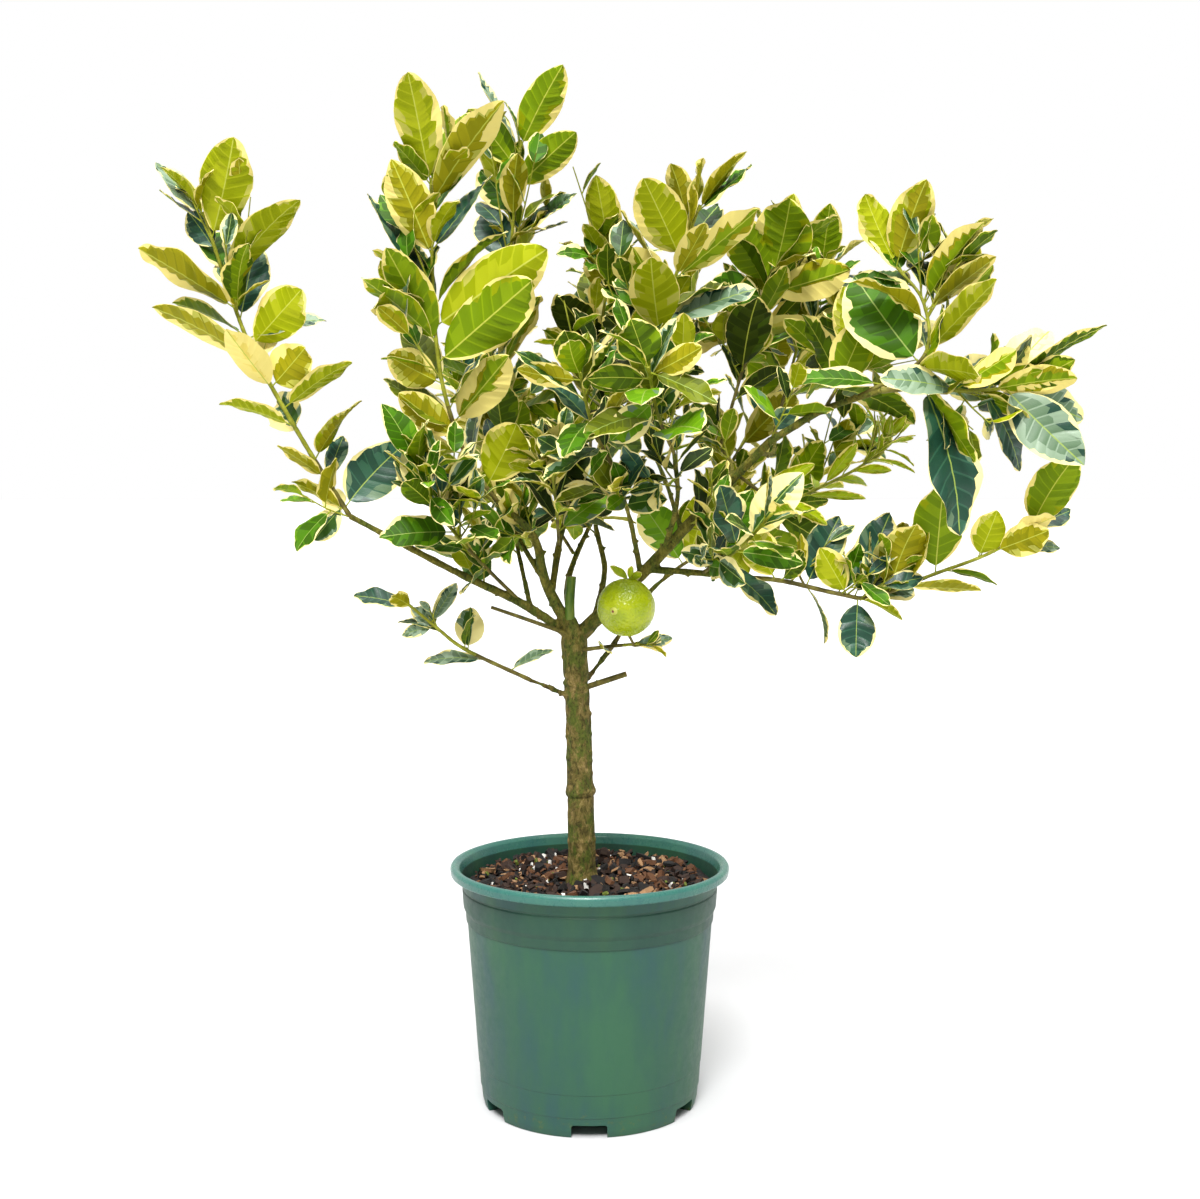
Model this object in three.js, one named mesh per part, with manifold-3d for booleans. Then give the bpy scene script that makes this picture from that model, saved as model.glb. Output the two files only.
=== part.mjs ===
// Potted variegated lemon tree: a grafted standard in a moulded nursery pot.
// Millimetres, +Z up. The origin is the middle of the pot's flat underside,
// +X is to the right and +Y away from the viewer who stands in front of the pot.
import * as THREE from 'three';
import { mergeVertices } from 'three/addons/utils/BufferGeometryUtils.js';
import Module from 'manifold-3d';

const wasm = await Module();
wasm.setup();

// Driving sizes of the pot
const potHeight = 260;
const rimRadius = 150;
const lipHeight = 11;
const collarRadius = 138;
const collarFoot = 216;
const collarTaper = 2;
const shoulderHeight = 8;
const potBodyTop = 132.5;
const potBodyFoot = 117.9;
const potBaseRadius = 114.3;
const footHeight = 15;
const mouthRadius = 143;
const mouthFoot = 135;
const potWall = 3;
const lipRound = 3;
const drainCount = 6;
const drainWidth = 37;
const drainHeight = 14;
const drainDepth = 30;

// Driving sizes of the planting
const soilTop = 238.5;
const clearGap = 0.3;
const trunkTop = 513;
const fruitRadius = 30.5;
const bladeThickness = 1.8;
const rootSink = 0.8;
const twigSides = 3;
const bareShare = 0.12;
const lastShare = 0.985;
const freeShare = 0.28;

// The trunk leans a little to the left. Its width is given up the height, with the
// root flare at the soil and the swelling of the old graft union.
const trunkRoute = [[-8, 0, soilTop - 2], [-10, 0, 333], [-13, 0, 422], [-17, 0, trunkTop]];
const trunkWidths = [[0, 37], [0.05, 31], [0.12, 29.6], [0.32, 28.6], [0.35, 31], [0.38, 28],
  [0.66, 26.6], [0.88, 26.8], [0.95, 29], [0.985, 25], [1, 17]];

// Each bough is one tapering limb: where it runs, and its width at the base and the tip.
const boughs = [
  {
    name: 'bough_left', thick: [11.4, 5.8],
    route: [[-19, -1, 504], [-71, -10, 540], [-138, -28, 574], [-246, -55, 634]],
  },
  {
    name: 'bough_left_leader', thick: [14, 5.6],
    route: [[-19, -1, 508], [-46, -12, 562], [-59, -24, 612], [-96, -42, 650]],
  },
  {
    name: 'bough_right_main', thick: [15, 8.4],
    route: [[-14, 1, 504], [57, -18, 574], [123, -46, 647], [184, -74, 711]],
  },
  {
    name: 'bough_right_arm', thick: [8.2, 6.2],
    route: [[184, -74, 711], [236, -91, 742], [290, -106, 760]],
  },
  {
    name: 'bough_right_low', thick: [8, 5.6],
    route: [[62, -19, 577], [114, -30, 574], [152, -38, 570]],
  },
  {
    name: 'bough_low_left', thick: [6.4, 4.8],
    route: [[-14, -2, 436], [-40, -7, 449], [-63, -12, 459]],
  },
  {
    name: 'bough_low_back', thick: [6.2, 4.4],
    route: [[-12, 3, 446], [25, 20, 493], [65, 40, 548], [97, 60, 574]],
  },
  {
    name: 'bough_centre', thick: [8, 4.8],
    route: [[-40, -8, 553], [-33, 12, 600], [-26, 30, 632], [-20, 60, 681]],
  },
  {
    name: 'bough_behind', thick: [7, 4.6],
    route: [[4, -2, 520], [16, 34, 573], [6, 58, 626], [11, 84, 700]],
  },
  {
    name: 'bough_left_upright', thick: [6, 4.4],
    route: [[-62, -8, 534], [-73, 20, 576], [-87, 60, 632]],
  },
  {
    name: 'bough_left_back', thick: [6.4, 4.6],
    route: [[-46, -12, 562], [-66, 4, 592], [-84, 38, 621]],
  },
  {
    name: 'bough_front_left', thick: [6.4, 4.2],
    route: [[54, -17, 571], [42, -50, 630], [23, -100, 686]],
  },
  {
    name: 'bough_front_right', thick: [6.4, 4.2],
    route: [[78, -26, 596], [90, -66, 651], [84, -120, 698]],
  },
  {
    name: 'bough_crown_left', thick: [5.6, 4.2],
    route: [[96, -35, 617], [80, -24, 668], [61, -20, 712]],
  },
  {
    name: 'bough_crown_right', thick: [5.6, 4.2],
    route: [[140, -54, 666], [150, -6, 684], [141, 40, 707]],
  },
  {
    name: 'bough_crown_far', thick: [5.6, 4.2],
    route: [[172, -69, 698], [196, 20, 700], [207, 110, 725]],
  },
  {
    name: 'bough_back', thick: [9, 4.8],
    route: [[-16, 2, 502], [-24, 70, 560], [10, 150, 640]],
  },
  {
    name: 'bough_back_right', thick: [9.4, 4.8],
    route: [[-12, 2, 498], [60, 76, 566], [140, 170, 650]],
  },
];

// Stubs of pruned shoots, with flat cut ends.
const stubs = [
  {
    name: 'cut_stub_upright', thick: [10.6, 10],
    route: [[-20, -6, 505], [-21, -10, 540], [-19, -10, 569]],
  },
  {
    name: 'cut_stub_right', thick: [6.6, 6],
    route: [[-10, -2, 448], [16, -5, 457], [39, -8, 465]],
  },
  {
    name: 'cut_twig_left', thick: [4.8, 3.6],
    route: [[-24, -8, 508], [-64, -24, 524], [-103, -30, 538]],
  },
];

// Each foliage mass is one leafy shoot: the bough that carries it, the width and route of
// its stem, how many leaves the growth rule gives it, their usual length and the seed.
// The leaves that stand out from the front are set one by one in "shown": place along
// the stem, heading in degrees as seen from the front (0 right, 90 up), length, width,
// the roll of the blade in degrees (0 shows its upper face, 180 its underside) and, where
// it isn't the usual one, how many degrees it leans away from the viewer.
const shoots = [
  {
    name: 'shoot_far_left', on: 'bough_left', thick: [5.4, 3.4], leaves: 8, blade: 66, seed: 1,
    route: [[-246, -55, 634], [-289, -62, 706], [-336, -65, 791], [-360, -62, 848],
      [-391, -55, 942]],
    shown: [[0.03, 55, 94, 54, 0], [0.04, -130, 46, 28, 0], [0.02, 145, 62, 26, 130],
      [0.13, 75, 52, 22, 0], [0.14, 140, 58, 24, 140], [0.31, 155, 76, 32, 120],
      [0.36, 40, 86, 36, 120], [0.42, 45, 56, 48, 180], [0.49, 145, 118, 50, 120],
      [0.56, 45, 82, 50, 180], [0.6, 25, 80, 36, 50], [0.69, 80, 90, 46, 0],
      [0.74, 145, 110, 46, 130], [0.82, 55, 112, 48, 130], [0.9, 125, 56, 30, 0],
      [0.93, 70, 106, 54, 180], [0.98, 130, 86, 36, 50]],
  },
  {
    name: 'shoot_tall', on: 'bough_left_leader', thick: [5.2, 3.4], leaves: 10, blade: 76, seed: 2,
    route: [[-96, -42, 650], [-125, -50, 692], [-148, -60, 762], [-157, -62, 833], [-159, -60, 903],
      [-160, -56, 976]],
    shown: [[0.07, 60, 78, 52, 180], [0.1, -165, 60, 28, 0], [0.22, 165, 78, 32, 130],
      [0.27, 145, 76, 36, 180], [0.31, 50, 96, 46, 180],
      [0.42, 155, 62, 40, 180], [0.48, 40, 130, 60, 180], [0.53, 115, 110, 46, 170],
      [0.58, 35, 140, 62, 180], [0.6, 115, 94, 40, 30], [0.66, 120, 126, 50, 70],
      [0.78, 110, 104, 46, 180], [0.8, 55, 100, 44, 50], [0.93, 58, 124, 50, 130],
      [0.98, 100, 112, 48, 170], [0.97, 68, 108, 40, 160, 28]],
  },
  {
    name: 'shoot_tall_back', on: 'bough_left_back', thick: [4.6, 3.2], leaves: 12, blade: 70, seed: 3,
    route: [[-84, 38, 621], [-95, 70, 714], [-97, 84, 813], [-87, 86, 921], [-75, 80, 1039]],
    shown: [[0.63, 75, 76, 40, 0], [0.72, 115, 72, 44, 0], [0.77, 40, 90, 38, 60],
      [0.83, 120, 68, 40, 0], [0.89, 45, 90, 40, 180], [0.93, 125, 84, 38, 180],
      [0.98, 65, 100, 44, 180], [0.97, 118, 102, 24, 70]],
  },
  {
    name: 'shoot_right_end', on: 'bough_right_arm', thick: [6, 3.4], leaves: 7, blade: 74, seed: 4,
    route: [[290, -106, 760], [334, -114, 763], [372, -118, 759], [414, -122, 762]],
    shown: [[0.31, -68, 148, 62, 30], [0.96, -50, 108, 54, 0, -22], [0.98, -18, 94, 42, 20, 16],
      [0.9, 47, 112, 44, 20, 24], [0.98, 43, 108, 30, 120, -14], [0.84, 12, 84, 34, 150, -16],
      [0.8, -54, 96, 40, 40, 12], [0.6, 166, 84, 36, 40, -20]],
  },
  {
    name: 'shoot_right_low', on: 'bough_right_low', thick: [5.4, 3], leaves: 10, blade: 54, seed: 5,
    route: [[152, -38, 570], [198, -45, 567], [257, -54, 554], [292, -58, 551], [353, -66, 575],
      [410, -74, 598], [459, -80, 630]],
    shown: [[0.06, 130, 50, 32, 180], [0.15, 120, 64, 40, 180], [0.24, 65, 86, 42, 0],
      [0.37, 120, 62, 34, 180], [0.41, 65, 100, 42, 10], [0.43, -95, 62, 40, 0],
      [0.55, 80, 82, 54, 180], [0.59, 0, 78, 32, 120], [0.67, 90, 100, 54, 180],
      [0.79, 70, 54, 36, 180], [0.84, 25, 62, 36, 180, -34], [0.86, 5, 62, 26, 60],
      [0.96, 70, 88, 46, 180]],
  },
  {
    name: 'shoot_right_top', on: 'bough_right_arm', thick: [4.4, 3], leaves: 6, blade: 76, seed: 6,
    route: [[266, -100, 753], [330, -109, 792], [332, -100, 846], [305, -85, 886]],
    shown: [[0.3, 128, 112, 76, 0], [0.98, 78, 90, 44, 180], [0.9, 112, 84, 44, 20],
      [0.92, 33, 104, 38, 100], [0.36, 50, 98, 42, 140], [0.62, 40, 84, 36, 130],
      [0.12, 170, 94, 36, 50]],
  },
  {
    name: 'shoot_low_left', on: 'bough_low_left', thick: [4.6, 3], leaves: 3, blade: 36, seed: 7,
    route: [[-63, -12, 459], [-130, -27, 493], [-159, -33, 516], [-189, -38, 542]],
    shown: [[0.1, 35, 50, 20, 60], [0.22, 175, 66, 26, 60], [0.32, 85, 48, 32, 0],
      [0.66, 140, 38, 18, 20], [0.7, -170, 36, 16, 20], [0.74, 60, 50, 22, 30],
      [0.97, 165, 62, 26, 50]],
  },
  {
    name: 'shoot_front_left', on: 'bough_front_left', thick: [4, 3], leaves: 10, blade: 64, seed: 8,
    route: [[23, -100, 686], [3, -140, 726], [-8, -180, 774]],
    shown: [[0.88, 15, 60, 28, 180], [0.93, 175, 62, 28, 150], [0.98, 105, 46, 38, 180]],
  },
  {
    name: 'shoot_front_right', on: 'bough_front_right', thick: [4, 3], leaves: 9, blade: 66, seed: 9,
    route: [[84, -120, 698], [67, -150, 735], [56, -200, 778]],
    shown: [[0.66, -135, 58, 34, 0], [0.88, 175, 60, 26, 160], [0.92, 25, 56, 26, 180],
      [0.95, -18, 70, 30, 40], [0.98, 110, 50, 44, 180]],
  },
  {
    name: 'shoot_crown_left', on: 'bough_crown_left', thick: [4, 3], leaves: 10, blade: 72, seed: 10,
    route: [[61, -20, 712], [67, -50, 783], [75, -60, 838], [92, -62, 891], [112, -55, 949]],
    shown: [[0.3, 105, 58, 40, 180], [0.46, 25, 106, 44, 50], [0.55, 125, 68, 40, 180],
      [0.67, 40, 108, 44, 130], [0.76, 115, 92, 52, 180], [0.84, 80, 84, 36, 110],
      [0.97, 58, 76, 30, 120]],
  },
  {
    name: 'shoot_centre', on: 'bough_centre', thick: [4.4, 3], leaves: 12, blade: 70, seed: 11,
    route: [[-20, 60, 681], [-4, 80, 758], [13, 86, 845], [24, 80, 915]],
    shown: [[0.63, 120, 56, 44, 0], [0.78, 95, 56, 42, 180], [0.93, 150, 62, 26, 120],
      [0.98, 100, 92, 40, 160]],
  },
  {
    name: 'shoot_crown_right', on: 'bough_crown_right', thick: [4, 3], leaves: 11, blade: 74, seed: 12,
    route: [[141, 40, 707], [166, 60, 789], [191, 70, 866], [207, 70, 915]],
    shown: [[0.84, 75, 84, 66, 180], [0.42, 120, 58, 40, 180], [0.68, 172, 62, 44, 0],
      [0.7, 15, 92, 44, 180], [0.76, 122, 82, 50, 180], [0.97, 85, 68, 28, 40]],
  },
  {
    name: 'shoot_crown_far', on: 'bough_crown_far', thick: [4, 3], leaves: 12, blade: 70, seed: 13,
    route: [[207, 110, 725], [236, 130, 827], [261, 135, 905]],
    shown: [[0.5, 100, 60, 40, 180], [0.82, 15, 68, 30, 40], [0.97, 85, 80, 38, 180]],
  },
  {
    name: 'shoot_left_inner', on: 'bough_left', thick: [4.2, 3], leaves: 14, blade: 62, seed: 14,
    route: [[-71, -10, 540], [-113, -34, 585], [-137, -60, 616], [-160, -95, 651],
      [-175, -120, 696]],
    shown: [],
  },
  {
    name: 'shoot_centre_low', on: 'bough_centre', thick: [3.6, 3], leaves: 5, blade: 60, seed: 15,
    route: [[-33, 12, 600], [-34, -40, 640], [-37, -84, 676]],
    shown: [[0.2, 42, 84, 34, 30], [0.75, 88, 78, 34, 180]],
  },
  {
    name: 'shoot_young', on: 'bough_right_main', thick: [3.8, 3], leaves: 16, blade: 48, seed: 16,
    route: [[150, -59, 677], [200, -30, 650], [262, -6, 672], [312, 6, 700]],
    shown: [],
  },
  {
    name: 'shoot_lemon', on: 'trunk', thick: [5, 3], leaves: 2, blade: 30, seed: 17, fruit: true,
    route: [[-12, -6, 490], [20, -34, 497], [52, -52, 502]],
    shown: [[0.9, 8, 42, 16, 0]],
  },
  {
    name: 'shoot_front_low', on: 'bough_right_low', thick: [4, 3], leaves: 11, blade: 60, seed: 18,
    route: [[118, -31, 574], [150, -110, 604], [176, -170, 640]],
    shown: [],
  },
  {
    name: 'shoot_behind', on: 'bough_behind', thick: [4.2, 3], leaves: 15, blade: 72, seed: 19,
    route: [[11, 84, 700], [46, 120, 780], [96, 130, 870]],
    shown: [[0.06, -118, 92, 44, 150]],
  },
  {
    name: 'shoot_low_back', on: 'bough_low_back', thick: [4, 3], leaves: 13, blade: 66, seed: 20,
    route: [[97, 60, 574], [150, 90, 606], [210, 130, 640]],
    shown: [[0.05, 122, 84, 46, 0], [0.12, 78, 88, 42, 180]],
  },
  {
    name: 'shoot_left_upright', on: 'bough_left_upright', thick: [4.2, 3],
    leaves: 15, blade: 72, seed: 21,
    route: [[-87, 60, 632], [-112, 120, 703], [-120, 170, 800]],
    shown: [],
  },
  {
    name: 'shoot_arm_back', on: 'bough_right_arm', thick: [4, 3], leaves: 12, blade: 70, seed: 22,
    route: [[236, -91, 742], [270, -20, 790], [300, 60, 850]],
    shown: [],
  },
  {
    name: 'shoot_back', on: 'bough_back', thick: [4.6, 3], leaves: 17, blade: 76, seed: 23,
    route: [[10, 150, 640], [0, 210, 720], [20, 265, 800], [40, 285, 880]],
    shown: [],
  },
  {
    name: 'shoot_back_left', on: 'bough_back', thick: [4.4, 3], leaves: 14, blade: 72, seed: 24,
    route: [[-19, 98, 588], [-80, 190, 680], [-126, 246, 770]],
    shown: [],
  },
  {
    name: 'shoot_back_right', on: 'bough_back_right', thick: [4.6, 3], leaves: 16, blade: 76, seed: 25,
    route: [[140, 170, 650], [190, 230, 730], [230, 260, 830]],
    shown: [],
  },
  {
    name: 'shoot_back_far', on: 'bough_back_right', thick: [4.2, 3], leaves: 13, blade: 70, seed: 26,
    route: [[108, 132, 612], [220, 172, 640], [300, 200, 700]],
    shown: [],
  },
];

const fullTurn = Math.PI * 2;
const leafTurn = fullTurn * 0.382;
const skyward = new THREE.Vector3(0, 0, 1);

// How the leaves of a stem grow. Each pair is the least value and the range above it that a
// leaf's own draw adds: angles in radians, length as a share of the shoot's blade length,
// width, arch and fold as shares of the leaf's own length or width.
const habit = {
  openAngle: [1, 0.35],
  closedAngle: [0.35, 0.3],
  stagger: [0.4, 0.6],
  turnSpread: [-0.35, 0.7],
  openSpread: [-0.25, 0.5],
  lift: [0, 0.35],
  rollSpread: [-0.65, 1.3],
  length: [0.78, 0.44],
  width: [0.38, 0.2],
  arch: [0.02, 0.16],
  fold: [0.04, 0.1],
  faceSky: 0.6,
  faceStem: 0.25,
  endSize: 0.72,
  middleSize: 0.5,
};
const shownHabit = { lean: 0.3, arch: 0.06, fold: 0.08 };

const bark = new THREE.MeshStandardMaterial({ color: '#61582a', roughness: 0.82, metalness: 0 });
const foliage = new THREE.MeshStandardMaterial({ color: '#6f8a2a', roughness: 0.45, metalness: 0 });
const potPlastic = new THREE.MeshStandardMaterial({ color: '#4b7a64', roughness: 0.5, metalness: 0 });
const pottingBark = new THREE.MeshStandardMaterial({ color: '#5a3a28', roughness: 0.95, metalness: 0 });

// The same seed always gives the same row of numbers between 0 and 1.
function drawsFrom(seed) {
  const modulus = 2147483647;
  let state = (seed * 7919 + 12345) % modulus;
  return () => {
    state = (state * 48271) % modulus;
    return state / modulus;
  };
}

function drawn([least, range], draw) {
  return least + range * draw();
}

function vector([x, y, z]) {
  return new THREE.Vector3(x, y, z);
}

function curveThrough(route) {
  return new THREE.CatmullRomCurve3(route.map(vector), false, 'catmullrom');
}

function solidFrom(geometry) {
  const bare = geometry.index ? geometry.toNonIndexed() : geometry.clone();
  bare.deleteAttribute('normal');
  bare.deleteAttribute('uv');
  const merged = mergeVertices(bare, 1e-4);
  const vertProperties = new Float32Array(merged.attributes.position.array);
  const triVerts = new Uint32Array(merged.index.array);
  return new wasm.Manifold(new wasm.Mesh({ numProp: 3, vertProperties, triVerts }));
}

function geometryFrom(solid) {
  const { vertProperties, triVerts } = solid.getMesh();
  const geometry = new THREE.BufferGeometry();
  geometry.setAttribute('position', new THREE.BufferAttribute(new Float32Array(vertProperties), 3));
  geometry.setIndex(new THREE.BufferAttribute(new Uint32Array(triVerts), 1));
  geometry.computeVertexNormals();
  return geometry;
}

// Cutting can leave a scrap: only the largest piece is kept.
function largestPiece(solid) {
  const pieces = solid.decompose();
  return pieces.reduce((best, piece) => (piece.volume() > best.volume() ? piece : best));
}

function placeVertices(geometry, place) {
  const position = geometry.attributes.position;
  const point = new THREE.Vector3();
  for (let i = 0; i < position.count; i += 1) {
    point.fromBufferAttribute(position, i);
    place(point);
    position.setXYZ(i, point.x, point.y, point.z);
  }
  return geometry;
}

// Width read off a list of [place along the limb, width] pairs.
function widthAlong(widths, t) {
  const next = widths.findIndex(([place]) => place >= t);
  if (next <= 0) {
    return widths[0][1];
  }
  const [startPlace, startWidth] = widths[next - 1];
  const [endPlace, endWidth] = widths[next];
  return THREE.MathUtils.mapLinear(t, startPlace, endPlace, startWidth, endWidth);
}

// A limb is a straight prism that is bent along its curve and tapered. With growth it is
// that much fatter and longer, which gives the clearance that a neighbour is cut by.
function limbSolid(curve, widths, sides, stations, growth = 0) {
  const corners = Array.from({ length: sides }, (_, i) => (fullTurn * i) / sides);
  const rim = corners.map((angle) => new THREE.Vector2(Math.cos(angle), Math.sin(angle)));
  const section = new THREE.Shape(rim);
  const steps = stations.length - 1;
  const prism = new THREE.ExtrudeGeometry(section, { depth: steps, steps, bevelEnabled: false });
  const frames = [];
  const side = new THREE.Vector3(0.31, -0.95, 0);
  stations.forEach((t, i) => {
    const tangent = curve.getTangent(t);
    side.addScaledVector(tangent, -side.dot(tangent)).normalize();
    const centre = curve.getPoint(t);
    if (i === 0) {
      centre.addScaledVector(tangent, -growth);
    }
    if (i === steps) {
      centre.addScaledVector(tangent, growth);
    }
    frames.push({
      centre,
      side: side.clone(),
      across: new THREE.Vector3().crossVectors(tangent, side),
      radius: widthAlong(widths, t) / 2 + growth,
    });
  });
  placeVertices(prism, (point) => {
    const frame = frames[Math.round(point.z)];
    const { x, y } = point;
    point.copy(frame.centre);
    point.addScaledVector(frame.side, x * frame.radius);
    point.addScaledVector(frame.across, y * frame.radius);
  });
  return solidFrom(prism);
}

function evenStations(count) {
  return Array.from({ length: count + 1 }, (_, i) => i / count);
}

// A blade is a ball of three sides, flattened and drawn out to a point at both ends: two
// edges and the keel of the midrib below. The root point lies just past the stem's middle.
// Each ring has its place along the blade and its shares of the half width and thickness.
const bladeRings = [
  { along: 0, half: 0, keel: 0 },
  { along: 0.4, half: 0.94, keel: 1 },
  { along: 0.76, half: 0.82, keel: 0.8 },
  { along: 1, half: 0, keel: 0 },
];

function leafSolid(leaf, clearance = 0, startShare = 0) {
  const steps = bladeRings.length - 1;
  const ball = new THREE.SphereGeometry(1, 3, steps);
  const across = new THREE.Vector3().crossVectors(leaf.up, leaf.along);
  const { position, uv } = ball.attributes;
  const point = new THREE.Vector3();
  for (let i = 0; i < position.count; i += 1) {
    const ring = Math.round((1 - uv.getY(i)) * steps);
    const corner = Math.round(uv.getX(i) * 3) % 3;
    const { along, half, keel } = bladeRings[ring];
    const place = startShare + (1 - startShare) * along;
    const edge = (leaf.width / 2) * half;
    point.copy(leaf.root);
    point.addScaledVector(leaf.along, leaf.length * place - rootSink * (1 - place));
    point.addScaledVector(leaf.up, -leaf.arch * leaf.length * place * place);
    if (half > 0 && corner === 2) {
      point.addScaledVector(leaf.up, -bladeThickness * keel - clearance);
    } else if (half > 0) {
      const sideways = corner === 0 ? -1 : 1;
      point.addScaledVector(across, sideways * (edge + clearance));
      point.addScaledVector(leaf.up, leaf.fold * edge + clearance);
    }
    position.setXYZ(i, point.x, point.y, point.z);
  }
  return solidFrom(ball);
}

// The growth rule of one stem: leaves stand round it by the leaf turn, wide open low down
// and closer to the stem near its tip, and each lifts towards the light.
function leavesOn(curve, count, blade, draw) {
  const leaves = [];
  const start = draw() * fullTurn;
  const openAngle = drawn(habit.openAngle, draw);
  const closedAngle = drawn(habit.closedAngle, draw);
  for (let i = 0; i < count; i += 1) {
    const t = bareShare + ((lastShare - bareShare) * (i + drawn(habit.stagger, draw))) / count;
    const tangent = curve.getTangent(t);
    const reference = Math.abs(tangent.y) < 0.9 ? new THREE.Vector3(0, 1, 0) : new THREE.Vector3(1, 0, 0);
    const side = new THREE.Vector3().crossVectors(tangent, reference).normalize();
    const across = new THREE.Vector3().crossVectors(tangent, side);
    const turn = start + leafTurn * i + drawn(habit.turnSpread, draw);
    const opening = openAngle + (closedAngle - openAngle) * t + drawn(habit.openSpread, draw);
    const outward = side.multiplyScalar(Math.cos(turn)).addScaledVector(across, Math.sin(turn));
    const along = tangent.clone().multiplyScalar(Math.cos(opening));
    along.addScaledVector(outward, Math.sin(opening));
    along.z += drawn(habit.lift, draw);
    along.normalize();
    const up = tangent.clone().addScaledVector(skyward, habit.faceSky);
    up.addScaledVector(outward, -habit.faceStem);
    up.addScaledVector(along, -up.dot(along)).normalize();
    up.applyAxisAngle(along, drawn(habit.rollSpread, draw));
    const sizeHere = habit.endSize + habit.middleSize * Math.sin(Math.PI * (0.25 + 0.65 * t));
    const length = blade * sizeHere * drawn(habit.length, draw);
    leaves.push({
      root: curve.getPoint(t),
      along,
      up,
      length,
      width: length * drawn(habit.width, draw),
      arch: drawn(habit.arch, draw),
      fold: drawn(habit.fold, draw),
    });
  }
  return leaves;
}

// A leaf that is set by its heading: a rising one that shows its underside leans to the
// viewer and one that shows its upper face leans away, and a hanging one the other way.
function shownLeaf(curve, [place, heading, length, width, roll, leanDegrees]) {
  const turn = THREE.MathUtils.degToRad(heading);
  const face = THREE.MathUtils.degToRad(roll);
  const usualLean = shownHabit.lean * Math.cos(face) * Math.sin(turn);
  const lean = leanDegrees === undefined ? usualLean : THREE.MathUtils.degToRad(leanDegrees);
  const along = new THREE.Vector3(Math.cos(turn), 0, Math.sin(turn)).multiplyScalar(Math.cos(lean));
  along.y = Math.sin(lean);
  const facing = new THREE.Vector3(0, -1, 0);
  facing.addScaledVector(along, -facing.dot(along)).normalize();
  const upright = new THREE.Vector3().crossVectors(facing, along);
  upright.multiplyScalar(upright.z < 0 ? -1 : 1);
  const up = facing.multiplyScalar(Math.cos(face)).addScaledVector(upright, Math.sin(face));
  const { arch, fold } = shownHabit;
  return { root: curve.getPoint(place), along, up, length, width, arch, fold };
}

function boxOf(solid) {
  const { min, max } = solid.boundingBox();
  return new THREE.Box3(vector(min), vector(max));
}

function boxed(solid) {
  return { solid, box: boxOf(solid) };
}

// Whether a solid runs into any of the others, which are first sifted by their boxes.
function touches(solid, others) {
  const box = boxOf(solid);
  return others.some((obstacle) => {
    if (!box.intersectsBox(obstacle.box)) {
      return false;
    }
    const shared = solid.intersect(obstacle.solid);
    const touching = !shared.isEmpty();
    shared.delete();
    return touching;
  });
}

const tree = new THREE.Group();
const obstacles = [];

function addNode(name, solid, material) {
  const mesh = new THREE.Mesh(geometryFrom(solid), material);
  mesh.name = name;
  tree.add(mesh);
}

function lathe(profile, segments) {
  return solidFrom(new THREE.LatheGeometry(profile.map(([r, z]) => new THREE.Vector2(r, z)), segments)
    .rotateX(Math.PI / 2));
}

// Drain pockets stand round the foot, one of them in front.
function drainBoxes(growth) {
  const width = drainWidth + 2 * growth;
  const height = drainHeight + growth;
  const depth = drainDepth + growth;
  return Array.from({ length: drainCount }, (_, i) => {
    const outside = 10;
    const box = new THREE.BoxGeometry(width, depth + outside, height + outside);
    box.translate(0, -(potBaseRadius - depth + (depth + outside) / 2), (height - outside) / 2);
    box.rotateZ((fullTurn * i) / drainCount);
    return solidFrom(box);
  });
}

const potSegments = 36;

// The tapering body from above the foot to the collar's foot, set in by a wall or a gap.
function bodySide(inset) {
  return [
    [potBodyFoot - inset, footHeight],
    [potBodyTop - inset, collarFoot - shoulderHeight],
    [collarRadius - collarTaper - inset, collarFoot],
  ];
}

function buildPot() {
  const rimFoot = potHeight - lipHeight;
  const foot = [[0, 0], [potBaseRadius, 0]];
  const section = [
    ...foot,
    ...bodySide(0),
    [collarRadius, rimFoot - 0.5],
    [rimRadius - lipRound / 2, rimFoot],
    [rimRadius, rimFoot + lipRound],
    [rimRadius, potHeight - lipRound],
    [rimRadius - lipRound, potHeight],
    [mouthRadius, potHeight],
    [mouthFoot + potWall, potHeight - lipRound],
    [mouthFoot, rimFoot - 2 * potWall],
    ...bodySide(potWall).reverse(),
    [potBaseRadius - potWall, potWall],
    [0, potWall],
  ];
  const envelope = lathe([...foot, ...bodySide(0), [0, collarFoot]], potSegments);
  const pocketWalls = wasm.Manifold.union(drainBoxes(potWall)).intersect(envelope);
  return lathe(section, potSegments).add(pocketWalls).subtract(wasm.Manifold.union(drainBoxes(0)));
}

// The bark mix fills the pot. Its surface falls off a little where it meets the wall.
function buildPottingMix() {
  const inset = potWall + clearGap;
  const edgeFall = 3;
  const edgeWidth = 10;
  const bed = lathe([
    [0, inset],
    [potBaseRadius - inset - 1, inset],
    ...bodySide(inset),
    [mouthFoot - 2 * clearGap, soilTop - edgeFall],
    [mouthFoot - edgeWidth, soilTop],
    [0, soilTop],
  ], potSegments / 2);
  return bed.subtract(wasm.Manifold.union(drainBoxes(inset)));
}

addNode('pot', buildPot(), potPlastic);
addNode('potting_mix', buildPottingMix(), pottingBark);

const fatLimbs = {};
const trunkSides = 12;
const trunkStations = trunkWidths.map(([place]) => place);
const trunkCurve = curveThrough(trunkRoute);
const soilBlock = new THREE.BoxGeometry(rimRadius, rimRadius, soilTop);
soilBlock.translate(0, 0, soilTop / 2 + clearGap);
const wholeTrunk = limbSolid(trunkCurve, trunkWidths, trunkSides, trunkStations);
const trunk = wholeTrunk.subtract(solidFrom(soilBlock));
fatLimbs.trunk = limbSolid(trunkCurve, trunkWidths, trunkSides, trunkStations, clearGap);
addNode('trunk', trunk, bark);
obstacles.push(boxed(fatLimbs.trunk));

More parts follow.
